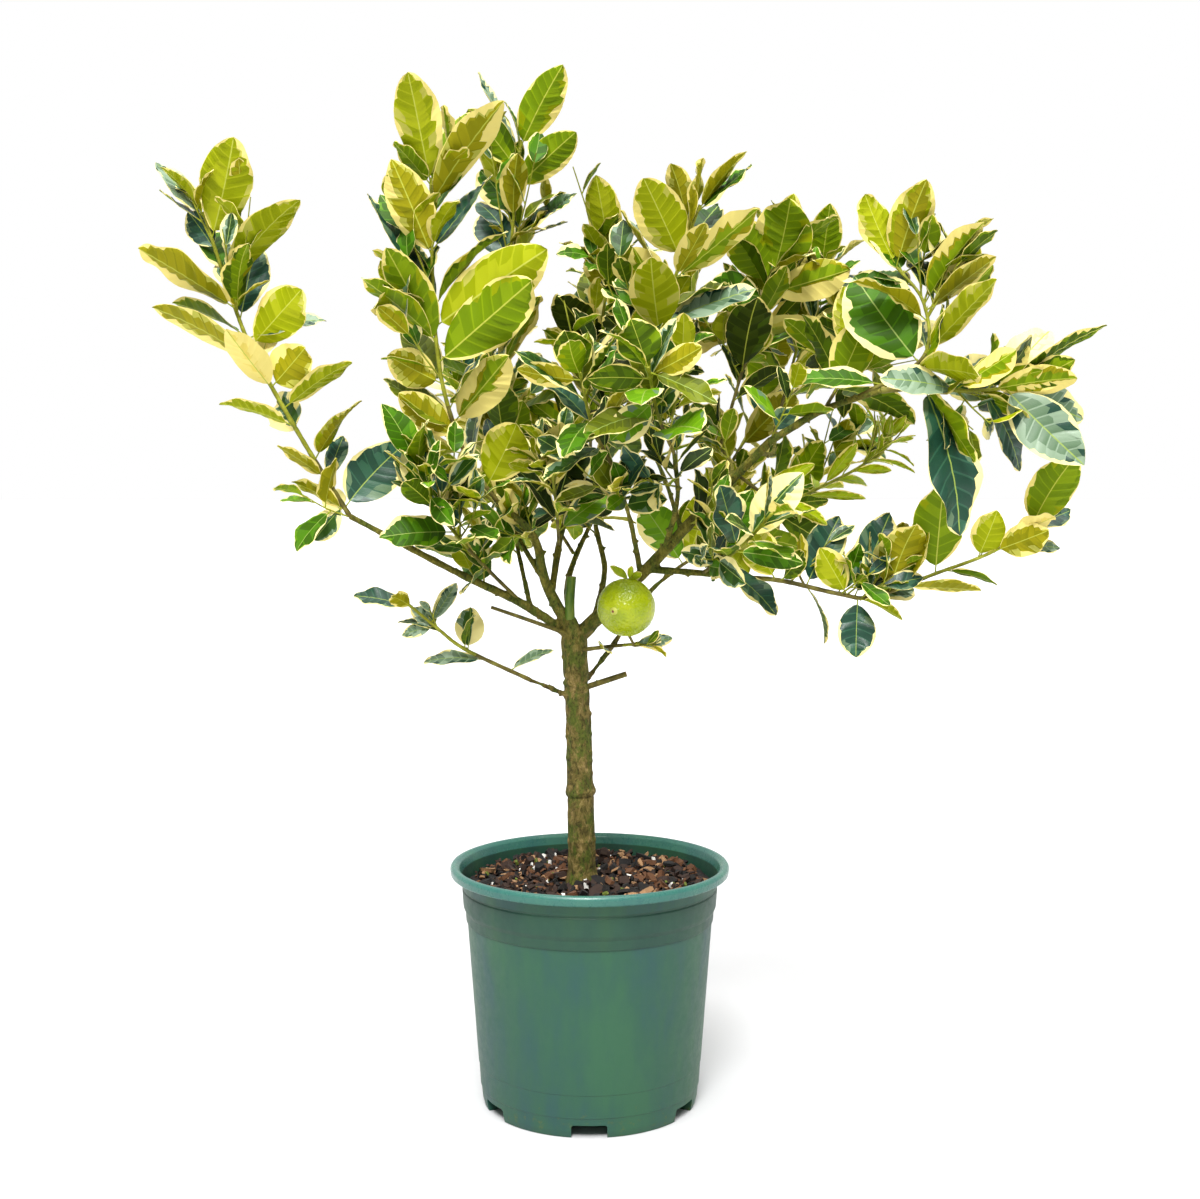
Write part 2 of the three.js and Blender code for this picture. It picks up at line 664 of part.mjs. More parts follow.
const boughSides = 6;
for (const { name, route, thick } of [...boughs, ...stubs]) {
  const curve = curveThrough(route);
  const widths = [[0, thick[0]], [1, thick[1]]];
  const stations = evenStations(2 * route.length - 2);
  let solid = limbSolid(curve, widths, boughSides, stations);
  for (const neighbour of Object.values(fatLimbs)) {
    solid = solid.subtract(neighbour);
  }
  solid = largestPiece(solid);
  fatLimbs[name] = limbSolid(curve, widths, boughSides, stations, clearGap);
  addNode(name, solid, bark);
  obstacles.push(boxed(fatLimbs[name]));
}

// The one large fruit stands on a short stalk at the end of its twig, with its blunt
// nipple turned to the front left.
const fruitCentre = [38, -56, 540];
const fruitAxis = new THREE.Vector3(-0.42, -0.9, -0.05).normalize();
const nippleHeight = 3.5;
const stalkRoute = [[46, -50, 500.5], [43, -54, 507], [40, -56, 516]];
const stalkWidths = [[0, 3], [1, 3.4]];

function buildFruit() {
  const ball = new THREE.SphereGeometry(fruitRadius, 10, 8);
  placeVertices(ball, (point) => {
    if (point.y > 0.99 * fruitRadius) {
      point.setY(fruitRadius + nippleHeight);
    }
  });
  const towardsNipple = new THREE.Quaternion();
  towardsNipple.setFromUnitVectors(new THREE.Vector3(0, 1, 0), fruitAxis);
  ball.applyQuaternion(towardsNipple);
  ball.translate(...fruitCentre);
  const stalk = limbSolid(curveThrough(stalkRoute), stalkWidths, twigSides, evenStations(2));
  return [solidFrom(ball), stalk];
}

function stemOf(shoot) {
  const curve = curveThrough(shoot.route);
  const widths = [[0, shoot.thick[0]], [1, shoot.thick[1]]];
  const stations = evenStations(2 * shoot.route.length - 2);
  const stem = limbSolid(curve, widths, twigSides, stations).subtract(fatLimbs[shoot.on]);
  const pieces = [boxed(largestPiece(stem))];
  if (shoot.fruit) {
    pieces.push(...buildFruit().map(boxed));
  }
  return { shoot, curve, pieces, zone: boxed(limbSolid(curve, widths, twigSides, stations, clearGap)) };
}

// All the stems stand before the first leaf, so that no leaf can block a later stem. A leaf
// is left out where it would run into a limb, another shoot or, past its root, its own.
const stems = shoots.map(stemOf);

for (const { shoot, curve, pieces, zone } of stems) {
  const draw = drawsFrom(shoot.seed);
  const leaves = shoot.shown.map((row) => shownLeaf(curve, row));
  leaves.push(...leavesOn(curve, shoot.leaves, shoot.blade, draw));
  const otherStems = stems.map((stem) => stem.zone).filter((other) => other !== zone);
  for (const leaf of leaves) {
    const clearOfOthers = !touches(leafSolid(leaf, clearGap), [...obstacles, ...otherStems]);
    const clearOfOwn = !touches(leafSolid(leaf, 0, freeShare), pieces);
    if (clearOfOthers && clearOfOwn) {
      pieces.push(boxed(leafSolid(leaf)));
    }
  }
  const mass = largestPiece(wasm.Manifold.union(pieces.map(({ solid }) => solid)));
  addNode(shoot.name, mass, foliage);
  obstacles.push(...pieces);
}

export default tree;
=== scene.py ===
"""A potted variegated lemon tree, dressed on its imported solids.

The tables and the growth rule are the part's own, in millimetres, and each mesh is turned
to metres as it is made. The front of the plant faces -Y.
"""

import math

import bpy
import numpy as np
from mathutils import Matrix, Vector
from mathutils.bvhtree import BVHTree


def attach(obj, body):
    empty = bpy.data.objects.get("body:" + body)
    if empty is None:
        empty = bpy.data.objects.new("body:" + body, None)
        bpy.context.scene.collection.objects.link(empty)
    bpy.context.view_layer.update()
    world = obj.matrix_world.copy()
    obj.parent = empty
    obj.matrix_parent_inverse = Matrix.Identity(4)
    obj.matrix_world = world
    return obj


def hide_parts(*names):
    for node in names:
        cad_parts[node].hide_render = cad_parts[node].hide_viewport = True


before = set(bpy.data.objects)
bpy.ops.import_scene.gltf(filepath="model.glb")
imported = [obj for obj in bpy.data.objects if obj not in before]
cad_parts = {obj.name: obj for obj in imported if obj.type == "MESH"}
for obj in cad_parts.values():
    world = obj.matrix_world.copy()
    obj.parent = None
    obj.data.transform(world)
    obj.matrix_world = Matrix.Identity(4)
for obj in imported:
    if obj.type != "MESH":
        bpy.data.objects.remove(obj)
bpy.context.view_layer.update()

MM = 0.001
FULL_TURN = 2 * math.pi

# Pot and planting
POT_HEIGHT = 260
RIM_RADIUS = 150
LIP_HEIGHT = 11
COLLAR_RADIUS = 138
COLLAR_FOOT = 216
BODY_TOP = 132.5
BODY_FOOT = 117.9
BASE_RADIUS = 114.3
FOOT_HEIGHT = 15
MOUTH_RADIUS = 143
MOUTH_FOOT = 135
DRAINS = 6
DRAIN_WIDTH = 37
DRAIN_HEIGHT = 14
DRAIN_DEPTH = 30
POT_SIDES = 160
SOIL_TOP = 238.5

# Trunk: its line from the soil to the fork, and its width at shares of that line
TRUNK_ROUTE = [(-8, 0, SOIL_TOP - 2), (-10, 0, 333), (-13, 0, 422), (-17, 0, 513)]
TRUNK_WIDTHS = [(0, 37), (0.05, 31), (0.12, 29.6), (0.32, 28.6), (0.35, 31), (0.38, 28),
                (0.66, 26.6), (0.88, 26.8), (0.95, 29), (0.985, 25), (1, 17)]

# Limbs: widths at base and tip, and the route
BOUGHS = {
    "bough_left": ((11.4, 5.8), [(-19, -1, 504), (-71, -10, 540), (-138, -28, 574),
                                 (-246, -55, 634)]),
    "bough_left_leader": ((14, 5.6), [(-19, -1, 508), (-46, -12, 562), (-59, -24, 612),
                                      (-96, -42, 650)]),
    "bough_right_main": ((15, 8.4), [(-14, 1, 504), (57, -18, 574), (123, -46, 647),
                                     (184, -74, 711)]),
    "bough_right_arm": ((8.2, 6.2), [(184, -74, 711), (236, -91, 742), (290, -106, 760)]),
    "bough_right_low": ((8, 5.6), [(62, -19, 577), (114, -30, 574), (152, -38, 570)]),
    "bough_low_left": ((6.4, 4.8), [(-14, -2, 436), (-40, -7, 449), (-63, -12, 459)]),
    "bough_low_back": ((6.2, 4.4), [(-12, 3, 446), (25, 20, 493), (65, 40, 548), (97, 60, 574)]),
    "bough_centre": ((8, 4.8), [(-40, -8, 553), (-33, 12, 600), (-26, 30, 632), (-20, 60, 681)]),
    "bough_behind": ((7, 4.6), [(4, -2, 520), (16, 34, 573), (6, 58, 626), (11, 84, 700)]),
    "bough_left_upright": ((6, 4.4), [(-62, -8, 534), (-73, 20, 576), (-87, 60, 632)]),
    "bough_left_back": ((6.4, 4.6), [(-46, -12, 562), (-66, 4, 592), (-84, 38, 621)]),
    "bough_front_left": ((6.4, 4.2), [(54, -17, 571), (42, -50, 630), (23, -100, 686)]),
    "bough_front_right": ((6.4, 4.2), [(78, -26, 596), (90, -66, 651), (84, -120, 698)]),
    "bough_crown_left": ((5.6, 4.2), [(96, -35, 617), (80, -24, 668), (61, -20, 712)]),
    "bough_crown_right": ((5.6, 4.2), [(140, -54, 666), (150, -6, 684), (141, 40, 707)]),
    "bough_crown_far": ((5.6, 4.2), [(172, -69, 698), (196, 20, 700), (207, 110, 725)]),
    "bough_back": ((9, 4.8), [(-16, 2, 502), (-24, 70, 560), (10, 150, 640)]),
    "bough_back_right": ((9.4, 4.8), [(-12, 2, 498), (60, 76, 566), (140, 170, 650)]),
}
STUBS = {
    "cut_stub_upright": ((10.6, 10), [(-20, -6, 505), (-21, -10, 540), (-19, -10, 569)]),
    "cut_stub_right": ((6.6, 6), [(-10, -2, 448), (16, -5, 457), (39, -8, 465)]),
    "cut_twig_left": ((4.8, 3.6), [(-24, -8, 508), (-64, -24, 524), (-103, -30, 538)]),
}
# Shoots: the limb each stands on, its widths at base and tip, how many leaves the growth
# rule adds, their usual length, the rule's seed and the route. A row of shown is a leaf that
# the photo shows: its place on the stem, heading, length, width, roll and sometimes its lean.
# Each has a letter of looks.
SHOOTS = {
    "shoot_far_left": dict(
        on="bough_left", thick=(5.4, 3.4), leaves=8, blade=66, seed=1,
        route=[(-246, -55, 634), (-289, -62, 706), (-336, -65, 791), (-360, -62, 848),
            (-391, -55, 942)],
        shown=[(0.03, 55, 94, 54, 0), (0.04, -130, 46, 28, 0), (0.02, 145, 62, 26, 130),
            (0.13, 75, 52, 22, 0), (0.14, 140, 58, 24, 140), (0.31, 155, 76, 32, 120),
            (0.36, 40, 86, 36, 120), (0.42, 45, 56, 48, 180), (0.49, 145, 118, 50, 120),
            (0.56, 45, 82, 50, 180), (0.6, 25, 80, 36, 50), (0.69, 80, 90, 46, 0),
            (0.74, 145, 110, 46, 130), (0.82, 55, 112, 48, 130), (0.9, 125, 56, 30, 0),
            (0.93, 70, 106, 54, 180), (0.98, 130, 86, 36, 50)],
        looks="BFOBOLLOOLSBOLBLS",
    ),
    "shoot_tall": dict(
        on="bough_left_leader", thick=(5.2, 3.4), leaves=10, blade=76, seed=2,
        route=[(-96, -42, 650), (-125, -50, 692), (-148, -60, 762), (-157, -62, 833),
            (-159, -60, 903), (-160, -56, 976)],
        shown=[(0.07, 60, 78, 52, 180), (0.1, -165, 60, 28, 0), (0.22, 165, 78, 32, 130),
            (0.27, 145, 76, 36, 180), (0.31, 50, 96, 46, 180), (0.42, 155, 62, 40, 180),
            (0.48, 40, 130, 60, 180), (0.53, 115, 110, 46, 170), (0.58, 35, 140, 62, 180),
            (0.6, 115, 94, 40, 30), (0.66, 120, 126, 50, 70), (0.78, 110, 104, 46, 180),
            (0.8, 55, 100, 44, 50), (0.93, 58, 124, 50, 130), (0.98, 100, 112, 48, 170),
            (0.97, 68, 108, 40, 160, 28)],
        looks="LBLOFOGGLBBOBOLG",
    ),
    "shoot_tall_back": dict(
        on="bough_left_back", thick=(4.6, 3.2), leaves=12, blade=70, seed=3,
        route=[(-84, 38, 621), (-95, 70, 714), (-97, 84, 813), (-87, 86, 921), (-75, 80, 1039)],
        shown=[(0.63, 75, 76, 40, 0), (0.72, 115, 72, 44, 0), (0.77, 40, 90, 38, 60),
            (0.83, 120, 68, 40, 0), (0.89, 45, 90, 40, 180), (0.93, 125, 84, 38, 180),
            (0.98, 65, 100, 44, 180), (0.97, 118, 102, 24, 70)],
        looks="DBLDGBGS",
    ),
    "shoot_right_end": dict(
        on="bough_right_arm", thick=(6, 3.4), leaves=7, blade=74, seed=4,
        route=[(290, -106, 760), (334, -114, 763), (372, -118, 759), (414, -122, 762)],
        shown=[(0.31, -68, 148, 62, 30), (0.96, -50, 108, 54, 0, -22),
            (0.98, -18, 94, 42, 20, 16), (0.9, 47, 112, 44, 20, 24),
            (0.98, 43, 108, 30, 120, -14), (0.84, 12, 84, 34, 150, -16),
            (0.8, -54, 96, 40, 40, 12), (0.6, 166, 84, 36, 40, -20)],
        looks="BSSCDFBS",
    ),
    "shoot_right_low": dict(
        on="bough_right_low", thick=(5.4, 3), leaves=10, blade=54, seed=5,
        route=[(152, -38, 570), (198, -45, 567), (257, -54, 554), (292, -58, 551),
            (353, -66, 575), (410, -74, 598), (459, -80, 630)],
        shown=[(0.06, 130, 50, 32, 180), (0.15, 120, 64, 40, 180), (0.24, 65, 86, 42, 0),
            (0.37, 120, 62, 34, 180), (0.41, 65, 100, 42, 10), (0.43, -95, 62, 40, 0),
            (0.55, 80, 82, 54, 180), (0.59, 0, 78, 32, 120), (0.67, 90, 100, 54, 180),
            (0.79, 70, 54, 36, 180), (0.84, 25, 62, 36, 180, -34), (0.86, 5, 62, 26, 60),
            (0.96, 70, 88, 46, 180)],
        looks="LLBLBBOOGLOSG",
    ),
    "shoot_right_top": dict(
        on="bough_right_arm", thick=(4.4, 3), leaves=6, blade=76, seed=6,
        route=[(266, -100, 753), (330, -109, 792), (332, -100, 846), (305, -85, 886)],
        shown=[(0.3, 128, 112, 76, 0), (0.98, 78, 90, 44, 180), (0.9, 112, 84, 44, 20),
            (0.92, 33, 104, 38, 100), (0.36, 50, 98, 42, 140), (0.62, 40, 84, 36, 130),
            (0.12, 170, 94, 36, 50)],
        looks="DSGSLOD",
    ),
    "shoot_low_left": dict(
        on="bough_low_left", thick=(4.6, 3), leaves=3, blade=36, seed=7,
        route=[(-63, -12, 459), (-130, -27, 493), (-159, -33, 516), (-189, -38, 542)],
        shown=[(0.1, 35, 50, 20, 60), (0.22, 175, 66, 26, 60), (0.32, 85, 48, 32, 0),
            (0.66, 140, 38, 18, 20), (0.7, -170, 36, 16, 20), (0.74, 60, 50, 22, 30),
            (0.97, 165, 62, 26, 50)],
        looks="SSFSSSB",
    ),
    "shoot_front_left": dict(
        on="bough_front_left", thick=(4, 3), leaves=10, blade=64, seed=8,
        route=[(23, -100, 686), (3, -140, 726), (-8, -180, 774)],
        shown=[(0.88, 15, 60, 28, 180), (0.93, 175, 62, 28, 150), (0.98, 105, 46, 38, 180)],
        looks="KOK",
    ),
    "shoot_front_right": dict(
        on="bough_front_right", thick=(4, 3), leaves=9, blade=66, seed=9,
        route=[(84, -120, 698), (67, -150, 735), (56, -200, 778)],
        shown=[(0.66, -135, 58, 34, 0), (0.88, 175, 60, 26, 160), (0.92, 25, 56, 26, 180),
            (0.95, -18, 70, 30, 40), (0.98, 110, 50, 44, 180)],
        looks="HKOKK",
    ),
    "shoot_crown_left": dict(
        on="bough_crown_left", thick=(4, 3), leaves=10, blade=72, seed=10,
        route=[(61, -20, 712), (67, -50, 783), (75, -60, 838), (92, -62, 891), (112, -55, 949)],
        shown=[(0.3, 105, 58, 40, 180), (0.46, 25, 106, 44, 50), (0.55, 125, 68, 40, 180),
            (0.67, 40, 108, 44, 130), (0.76, 115, 92, 52, 180), (0.84, 80, 84, 36, 110),
            (0.97, 58, 76, 30, 120)],
        looks="BSFFLOO",
    ),
    "shoot_centre": dict(
        on="bough_centre", thick=(4.4, 3), leaves=12, blade=70, seed=11,
        route=[(-20, 60, 681), (-4, 80, 758), (13, 86, 845), (24, 80, 915)],
        shown=[(0.63, 120, 56, 44, 0), (0.78, 95, 56, 42, 180), (0.93, 150, 62, 26, 120),
            (0.98, 100, 92, 40, 160)],
        looks="FOLL",
    ),
    "shoot_crown_right": dict(
        on="bough_crown_right", thick=(4, 3), leaves=11, blade=74, seed=12,
        route=[(141, 40, 707), (166, 60, 789), (191, 70, 866), (207, 70, 915)],
        shown=[(0.84, 75, 84, 66, 180), (0.42, 120, 58, 40, 180), (0.68, 172, 62, 44, 0),
            (0.7, 15, 92, 44, 180), (0.76, 122, 82, 50, 180), (0.97, 85, 68, 28, 40)],
        looks="GGDFGG",
    ),
    "shoot_crown_far": dict(
        on="bough_crown_far", thick=(4, 3), leaves=12, blade=70, seed=13,
        route=[(207, 110, 725), (236, 130, 827), (261, 135, 905)],
        shown=[(0.5, 100, 60, 40, 180), (0.82, 15, 68, 30, 40), (0.97, 85, 80, 38, 180)],
        looks="BSG",
    ),
    "shoot_left_inner": dict(
        on="bough_left", thick=(4.2, 3), leaves=14, blade=62, seed=14,
        route=[(-71, -10, 540), (-113, -34, 585), (-137, -60, 616), (-160, -95, 651),
            (-175, -120, 696)],
        shown=[],
        looks="",
    ),
    "shoot_centre_low": dict(
        on="bough_centre", thick=(3.6, 3), leaves=5, blade=60, seed=15,
        route=[(-33, 12, 600), (-34, -40, 640), (-37, -84, 676)],
        shown=[(0.2, 42, 84, 34, 30), (0.75, 88, 78, 34, 180)],
        looks="HC",
    ),
    "shoot_young": dict(
        on="bough_right_main", thick=(3.8, 3), leaves=16, blade=48, seed=16,
        route=[(150, -59, 677), (200, -30, 650), (262, -6, 672), (312, 6, 700)],
        shown=[],
        looks="",
    ),
    "shoot_lemon": dict(
        on="trunk", thick=(5, 3), leaves=2, blade=30, seed=17,
        route=[(-12, -6, 490), (20, -34, 497), (52, -52, 502)],
        shown=[(0.9, 8, 42, 16, 0)],
        looks="S",
    ),
    "shoot_front_low": dict(
        on="bough_right_low", thick=(4, 3), leaves=11, blade=60, seed=18,
        route=[(118, -31, 574), (150, -110, 604), (176, -170, 640)],
        shown=[],
        looks="",
    ),
    "shoot_behind": dict(
        on="bough_behind", thick=(4.2, 3), leaves=15, blade=72, seed=19,
        route=[(11, 84, 700), (46, 120, 780), (96, 130, 870)],
        shown=[(0.06, -118, 92, 44, 150)],
        looks="D",
    ),
    "shoot_low_back": dict(
        on="bough_low_back", thick=(4, 3), leaves=13, blade=66, seed=20,
        route=[(97, 60, 574), (150, 90, 606), (210, 130, 640)],
        shown=[(0.05, 122, 84, 46, 0), (0.12, 78, 88, 42, 180)],
        looks="HL",
    ),
    "shoot_left_upright": dict(
        on="bough_left_upright", thick=(4.2, 3), leaves=15, blade=72, seed=21,
        route=[(-87, 60, 632), (-112, 120, 703), (-120, 170, 800)],
        shown=[],
        looks="",
    ),
    "shoot_arm_back": dict(
        on="bough_right_arm", thick=(4, 3), leaves=12, blade=70, seed=22,
        route=[(236, -91, 742), (270, -20, 790), (300, 60, 850)],
        shown=[],
        looks="",
    ),
    "shoot_back": dict(
        on="bough_back", thick=(4.6, 3), leaves=17, blade=76, seed=23,
        route=[(10, 150, 640), (0, 210, 720), (20, 265, 800), (40, 285, 880)],
        shown=[],
        looks="",
    ),
    "shoot_back_left": dict(
        on="bough_back", thick=(4.4, 3), leaves=14, blade=72, seed=24,
        route=[(-19, 98, 588), (-80, 190, 680), (-126, 246, 770)],
        shown=[],
        looks="",
    ),
    "shoot_back_right": dict(
        on="bough_back_right", thick=(4.6, 3), leaves=16, blade=76, seed=25,
        route=[(140, 170, 650), (190, 230, 730), (230, 260, 830)],
        shown=[],
        looks="",
    ),
    "shoot_back_far": dict(
        on="bough_back_right", thick=(4.2, 3), leaves=13, blade=70, seed=26,
        route=[(108, 132, 612), (220, 172, 640), (300, 200, 700)],
        shown=[],
        looks="",
    ),
}

# Habit of the leaves: they stand between two shares of the stem, each a leaf turn on from
# the last. Each pair is the least value and the range that a draw adds. The single values
# weigh how far a leaf faces the sky or the stem, and size it by its place on the stem.
BARE_SHARE = 0.12
LAST_SHARE = 0.985
LEAF_TURN = FULL_TURN * 0.382
HABIT = dict(
    open_angle=(1, 0.35), closed_angle=(0.35, 0.3), stagger=(0.4, 0.6),
    turn_spread=(-0.35, 0.7), open_spread=(-0.25, 0.5), lift=(0, 0.35),
    roll_spread=(-0.65, 1.3), length=(0.78, 0.44), width=(0.38, 0.2),
    arch=(0.02, 0.16), fold=(0.04, 0.1),
    face_sky=0.6, face_stem=0.25, end_size=0.72, middle_size=0.5,
)
# A shown leaf with its top to the viewer leans back by up to this many radians as it points
# up, and forward as it points down. One with its back to the viewer leans the other way.
SHOWN_LEAN = 0.3
SHOWN_ARCH = 0.06
SHOWN_FOLD = 0.08


# Growth rule

def draws_from(seed):
    """The same seed always gives the same row of numbers between 0 and 1."""
    modulus = 2147483647
    state = (seed * 7919 + 12345) % modulus

    def draw():
        nonlocal state
        state = (state * 48271) % modulus
        return state / modulus
    return draw


def drawn(pair, draw):
    return pair[0] + pair[1] * draw()


def unit(v):
    return v / np.linalg.norm(v)


def unit_rows(v):
    return v / np.linalg.norm(v, axis=1)[:, None]


def turned(v, axis, angle):
    """v turned about a unit axis that it stands square to."""
    return v * math.cos(angle) + np.cross(axis, v) * math.sin(angle)


class Curve:
    """A smooth line through the points of a route, with t from 0 to 1 and equal shares
    of t between the points."""

    def __init__(self, route):
        p = np.array(route, float)
        self.points = np.vstack([2 * p[0] - p[1], p, 2 * p[-1] - p[-2]])
        self.spans = len(p) - 1

    def at(self, t):
        t = min(max(t, 0.0), 1.0) * self.spans
        i = min(int(t), self.spans - 1)
        a, b, c, d = self.points[i:i + 4]
        s = t - i
        m, n = 0.5 * (c - a), 0.5 * (d - b)
        return (b + m * s + (3 * (c - b) - 2 * m - n) * s ** 2
                + (2 * (b - c) + m + n) * s ** 3)

    def tangent(self, t):
        step = 0.0001
        return unit(self.at(min(t + step, 1)) - self.at(max(t - step, 0)))


def leaf_at(curve, t, along, up, length, width, arch, fold):
    return dict(root=curve.at(t), along=along, up=up, length=length, width=width,
                arch=arch, fold=fold)


def leaves_on(curve, count, blade, draw):
    """Leaves stand round the stem by the leaf turn, wide open low down and closer to the
    stem near its tip, and each lifts towards the light."""
    leaves = []
    start = draw() * FULL_TURN
    open_angle = drawn(HABIT["open_angle"], draw)
    closed_angle = drawn(HABIT["closed_angle"], draw)
    for i in range(count):
        t = BARE_SHARE + (LAST_SHARE - BARE_SHARE) * (i + drawn(HABIT["stagger"], draw)) / count
        tangent = curve.tangent(t)
        reference = np.array((0.0, 1, 0) if abs(tangent[1]) < 0.9 else (1.0, 0, 0))
        side = unit(np.cross(tangent, reference))
        across = np.cross(tangent, side)
        turn = start + LEAF_TURN * i + drawn(HABIT["turn_spread"], draw)
        opening = open_angle + (closed_angle - open_angle) * t + drawn(HABIT["open_spread"], draw)
        outward = side * math.cos(turn) + across * math.sin(turn)
        along = tangent * math.cos(opening) + outward * math.sin(opening)
        along[2] += drawn(HABIT["lift"], draw)
        along = unit(along)
        up = tangent + np.array((0, 0, HABIT["face_sky"])) - HABIT["face_stem"] * outward
        up = unit(up - along * up.dot(along))
        up = turned(up, along, drawn(HABIT["roll_spread"], draw))
        size = HABIT["end_size"] + HABIT["middle_size"] * math.sin(math.pi * (0.25 + 0.65 * t))
        length = blade * size * drawn(HABIT["length"], draw)
        width = length * drawn(HABIT["width"], draw)
        arch = drawn(HABIT["arch"], draw)
        leaves.append(leaf_at(curve, t, along, up, length, width, arch,
                              drawn(HABIT["fold"], draw)))
    return leaves


def shown_leaf(curve, place, heading, length, width, roll, lean=None):
    """A leaf that is set by its heading as seen from the front, in degrees."""
    turn, face = math.radians(heading), math.radians(roll)
    usual = SHOWN_LEAN * math.cos(face) * math.sin(turn)
    lean = usual if lean is None else math.radians(lean)
    along = np.array((math.cos(turn) * math.cos(lean), math.sin(lean),
                      math.sin(turn) * math.cos(lean)))
    facing = np.array((0.0, -1, 0))
    facing = unit(facing - along * facing.dot(along))
    upright = np.cross(facing, along)
    upright *= -1 if upright[2] < 0 else 1
    up = facing * math.cos(face) + upright * math.sin(face)
    return leaf_at(curve, place, along, up, length, width, SHOWN_ARCH, SHOWN_FOLD)


# Mesh making

def lattice_noise(points, spacing, seed):
    """Smooth noise from -1 to 1 that changes over the given spacing, in the points' unit."""
    table = np.random.RandomState(seed).permutation(256)
    p = np.asarray(points, float) / spacing
    cell = np.floor(p).astype(int)
    f = p - cell
    f = f * f * (3 - 2 * f)
    total = np.zeros(len(p))
    for corner in range(8):
        offset = np.array((corner & 1, corner >> 1 & 1, corner >> 2 & 1))
        c = cell + offset
        h = table[(table[(table[c[:, 0] & 255] + c[:, 1]) & 255] + c[:, 2]) & 255]
        total += (h / 127.5 - 1) * np.prod(np.where(offset, f, 1 - f), axis=1)
    return total


class Parts:
    """Gathers the vertices (mm) and faces of many small shapes for one joined mesh."""

    def __init__(self):
        self.points, self.faces, self.sizes, self.slots = [], [], [], []
        self.count = 0

    def add(self, points, faces, slots):
        """faces is a list of index arrays with one row a face, and slots gives each of them
        one slot, or one for every row."""
        for block, slot in zip(faces, slots):
            block = np.atleast_2d(np.asarray(block, int))
            self.faces.append((block + self.count).ravel())
            self.sizes.append(np.full(len(block), block.shape[1]))
            self.slots.append(np.broadcast_to(np.asarray(slot, int).ravel(), (len(block),))
                              if np.size(slot) == 1 else np.asarray(slot, int).ravel())
        self.points.append(np.asarray(points, float))
        self.count += len(points)

    def mesh(self, name, materials, sharp_angle=None):
        mesh = bpy.data.meshes.new(name)
        points = np.vstack(self.points) * MM
        corners = np.concatenate(self.faces)
        sizes = np.concatenate(self.sizes)
        mesh.vertices.add(len(points))
        mesh.vertices.foreach_set("co", points.ravel())
        mesh.loops.add(len(corners))
        mesh.loops.foreach_set("vertex_index", corners)
        mesh.polygons.add(len(sizes))
        mesh.polygons.foreach_set("loop_start", np.concatenate([[0], np.cumsum(sizes)[:-1]]))
        mesh.polygons.foreach_set("material_index", np.concatenate(self.slots))
        shade_smooth(mesh)
        mesh.update(calc_edges=True)
        mesh.validate()
        if sharp_angle is not None:
            mesh.set_sharp_from_angle(angle=math.radians(sharp_angle))
        for material in materials:
            mesh.materials.append(material)
        return mesh


def placed(mesh, name, slot, *nodes):
    """Puts a finished mesh in the scene as a piece that rides on the plant."""
    piece = bpy.data.objects.new(name, mesh)
    bpy.context.scene.collection.objects.link(piece)
    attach(piece, "root")
    if nodes:
        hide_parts(*nodes)


def ring_faces(stations, sides):
    """Quads of a tube: one row of corners for each station."""
    i, j = np.meshgrid(np.arange(stations - 1), np.arange(sides), indexing="ij")
    k = (j + 1) % sides
    return np.stack([i * sides + j, i * sides + k, (i + 1) * sides + k, (i + 1) * sides + j],
                    axis=-1).reshape(-1, 4)


def tube(points, radii, sides, swell=None):
    """A closed tube along points. swell gives each corner's own factor on the radius."""
    points = np.asarray(points, float)
    stations = len(points)
    tangents = np.gradient(points, axis=0)
    side = np.array((0.31, -0.95, 0.05))
    angles = FULL_TURN * np.arange(sides) / sides
    rings = []
    for i in range(stations):
        tangent = unit(tangents[i])
        side = unit(side - tangent * side.dot(tangent))
        across = np.cross(tangent, side)
        factor = radii[i] * (1 if swell is None else swell[i])
        rings.append(points[i] + np.outer(np.cos(angles) * factor, side)
                     + np.outer(np.sin(angles) * factor, across))
    corners = np.vstack(rings)
    last = (stations - 1) * sides
    return corners, ring_faces(stations, sides), np.arange(sides)[::-1], last + np.arange(sides)


def limb_line(curve, widths, step):
    """Stations along a limb about step mm apart, with the radius at each."""
    shares = np.linspace(0, 1, 60)
    length = np.sum(np.linalg.norm(np.diff([curve.at(t) for t in shares], axis=0), axis=1))
    stations = np.linspace(0, 1, max(4, int(length / step)))
    points = np.array([curve.at(t) for t in stations])
    places, sizes = zip(*widths)
    return points, np.interp(stations, places, sizes) / 2


def apply_modifiers(piece):
    """Works a piece's modifiers into its mesh."""
    bpy.context.view_layer.update()
    graph = bpy.context.evaluated_depsgraph_get()
    mesh = bpy.data.meshes.new_from_object(piece.evaluated_get(graph))
    piece.modifiers.clear()
    old = piece.data
    piece.data = mesh
    bpy.data.meshes.remove(old)


def read_rows(items, key):
    """A vector of each vertex or face of a mesh, one row each."""
    values = np.empty(len(items) * 3)
    items.foreach_get(key, values)
    return values.reshape(-1, 3)


def shade_smooth(mesh):
    mesh.polygons.foreach_set("use_smooth", np.ones(len(mesh.polygons), bool))


def bench(mesh):
    """An object that is only there while its mesh is being worked on."""
    piece = bpy.data.objects.new("bench", mesh)
    bpy.context.scene.collection.objects.link(piece)
    return piece


# Finishes

def linear(colour):
    """sRGB hex to the linear value that a shader takes."""
    channels = [int(colour[i:i + 2], 16) / 255 for i in (1, 3, 5)]
    return [c / 12.92 if c <= 0.04045 else ((c + 0.055) / 1.055) ** 2.4
            for c in channels] + [1.0]


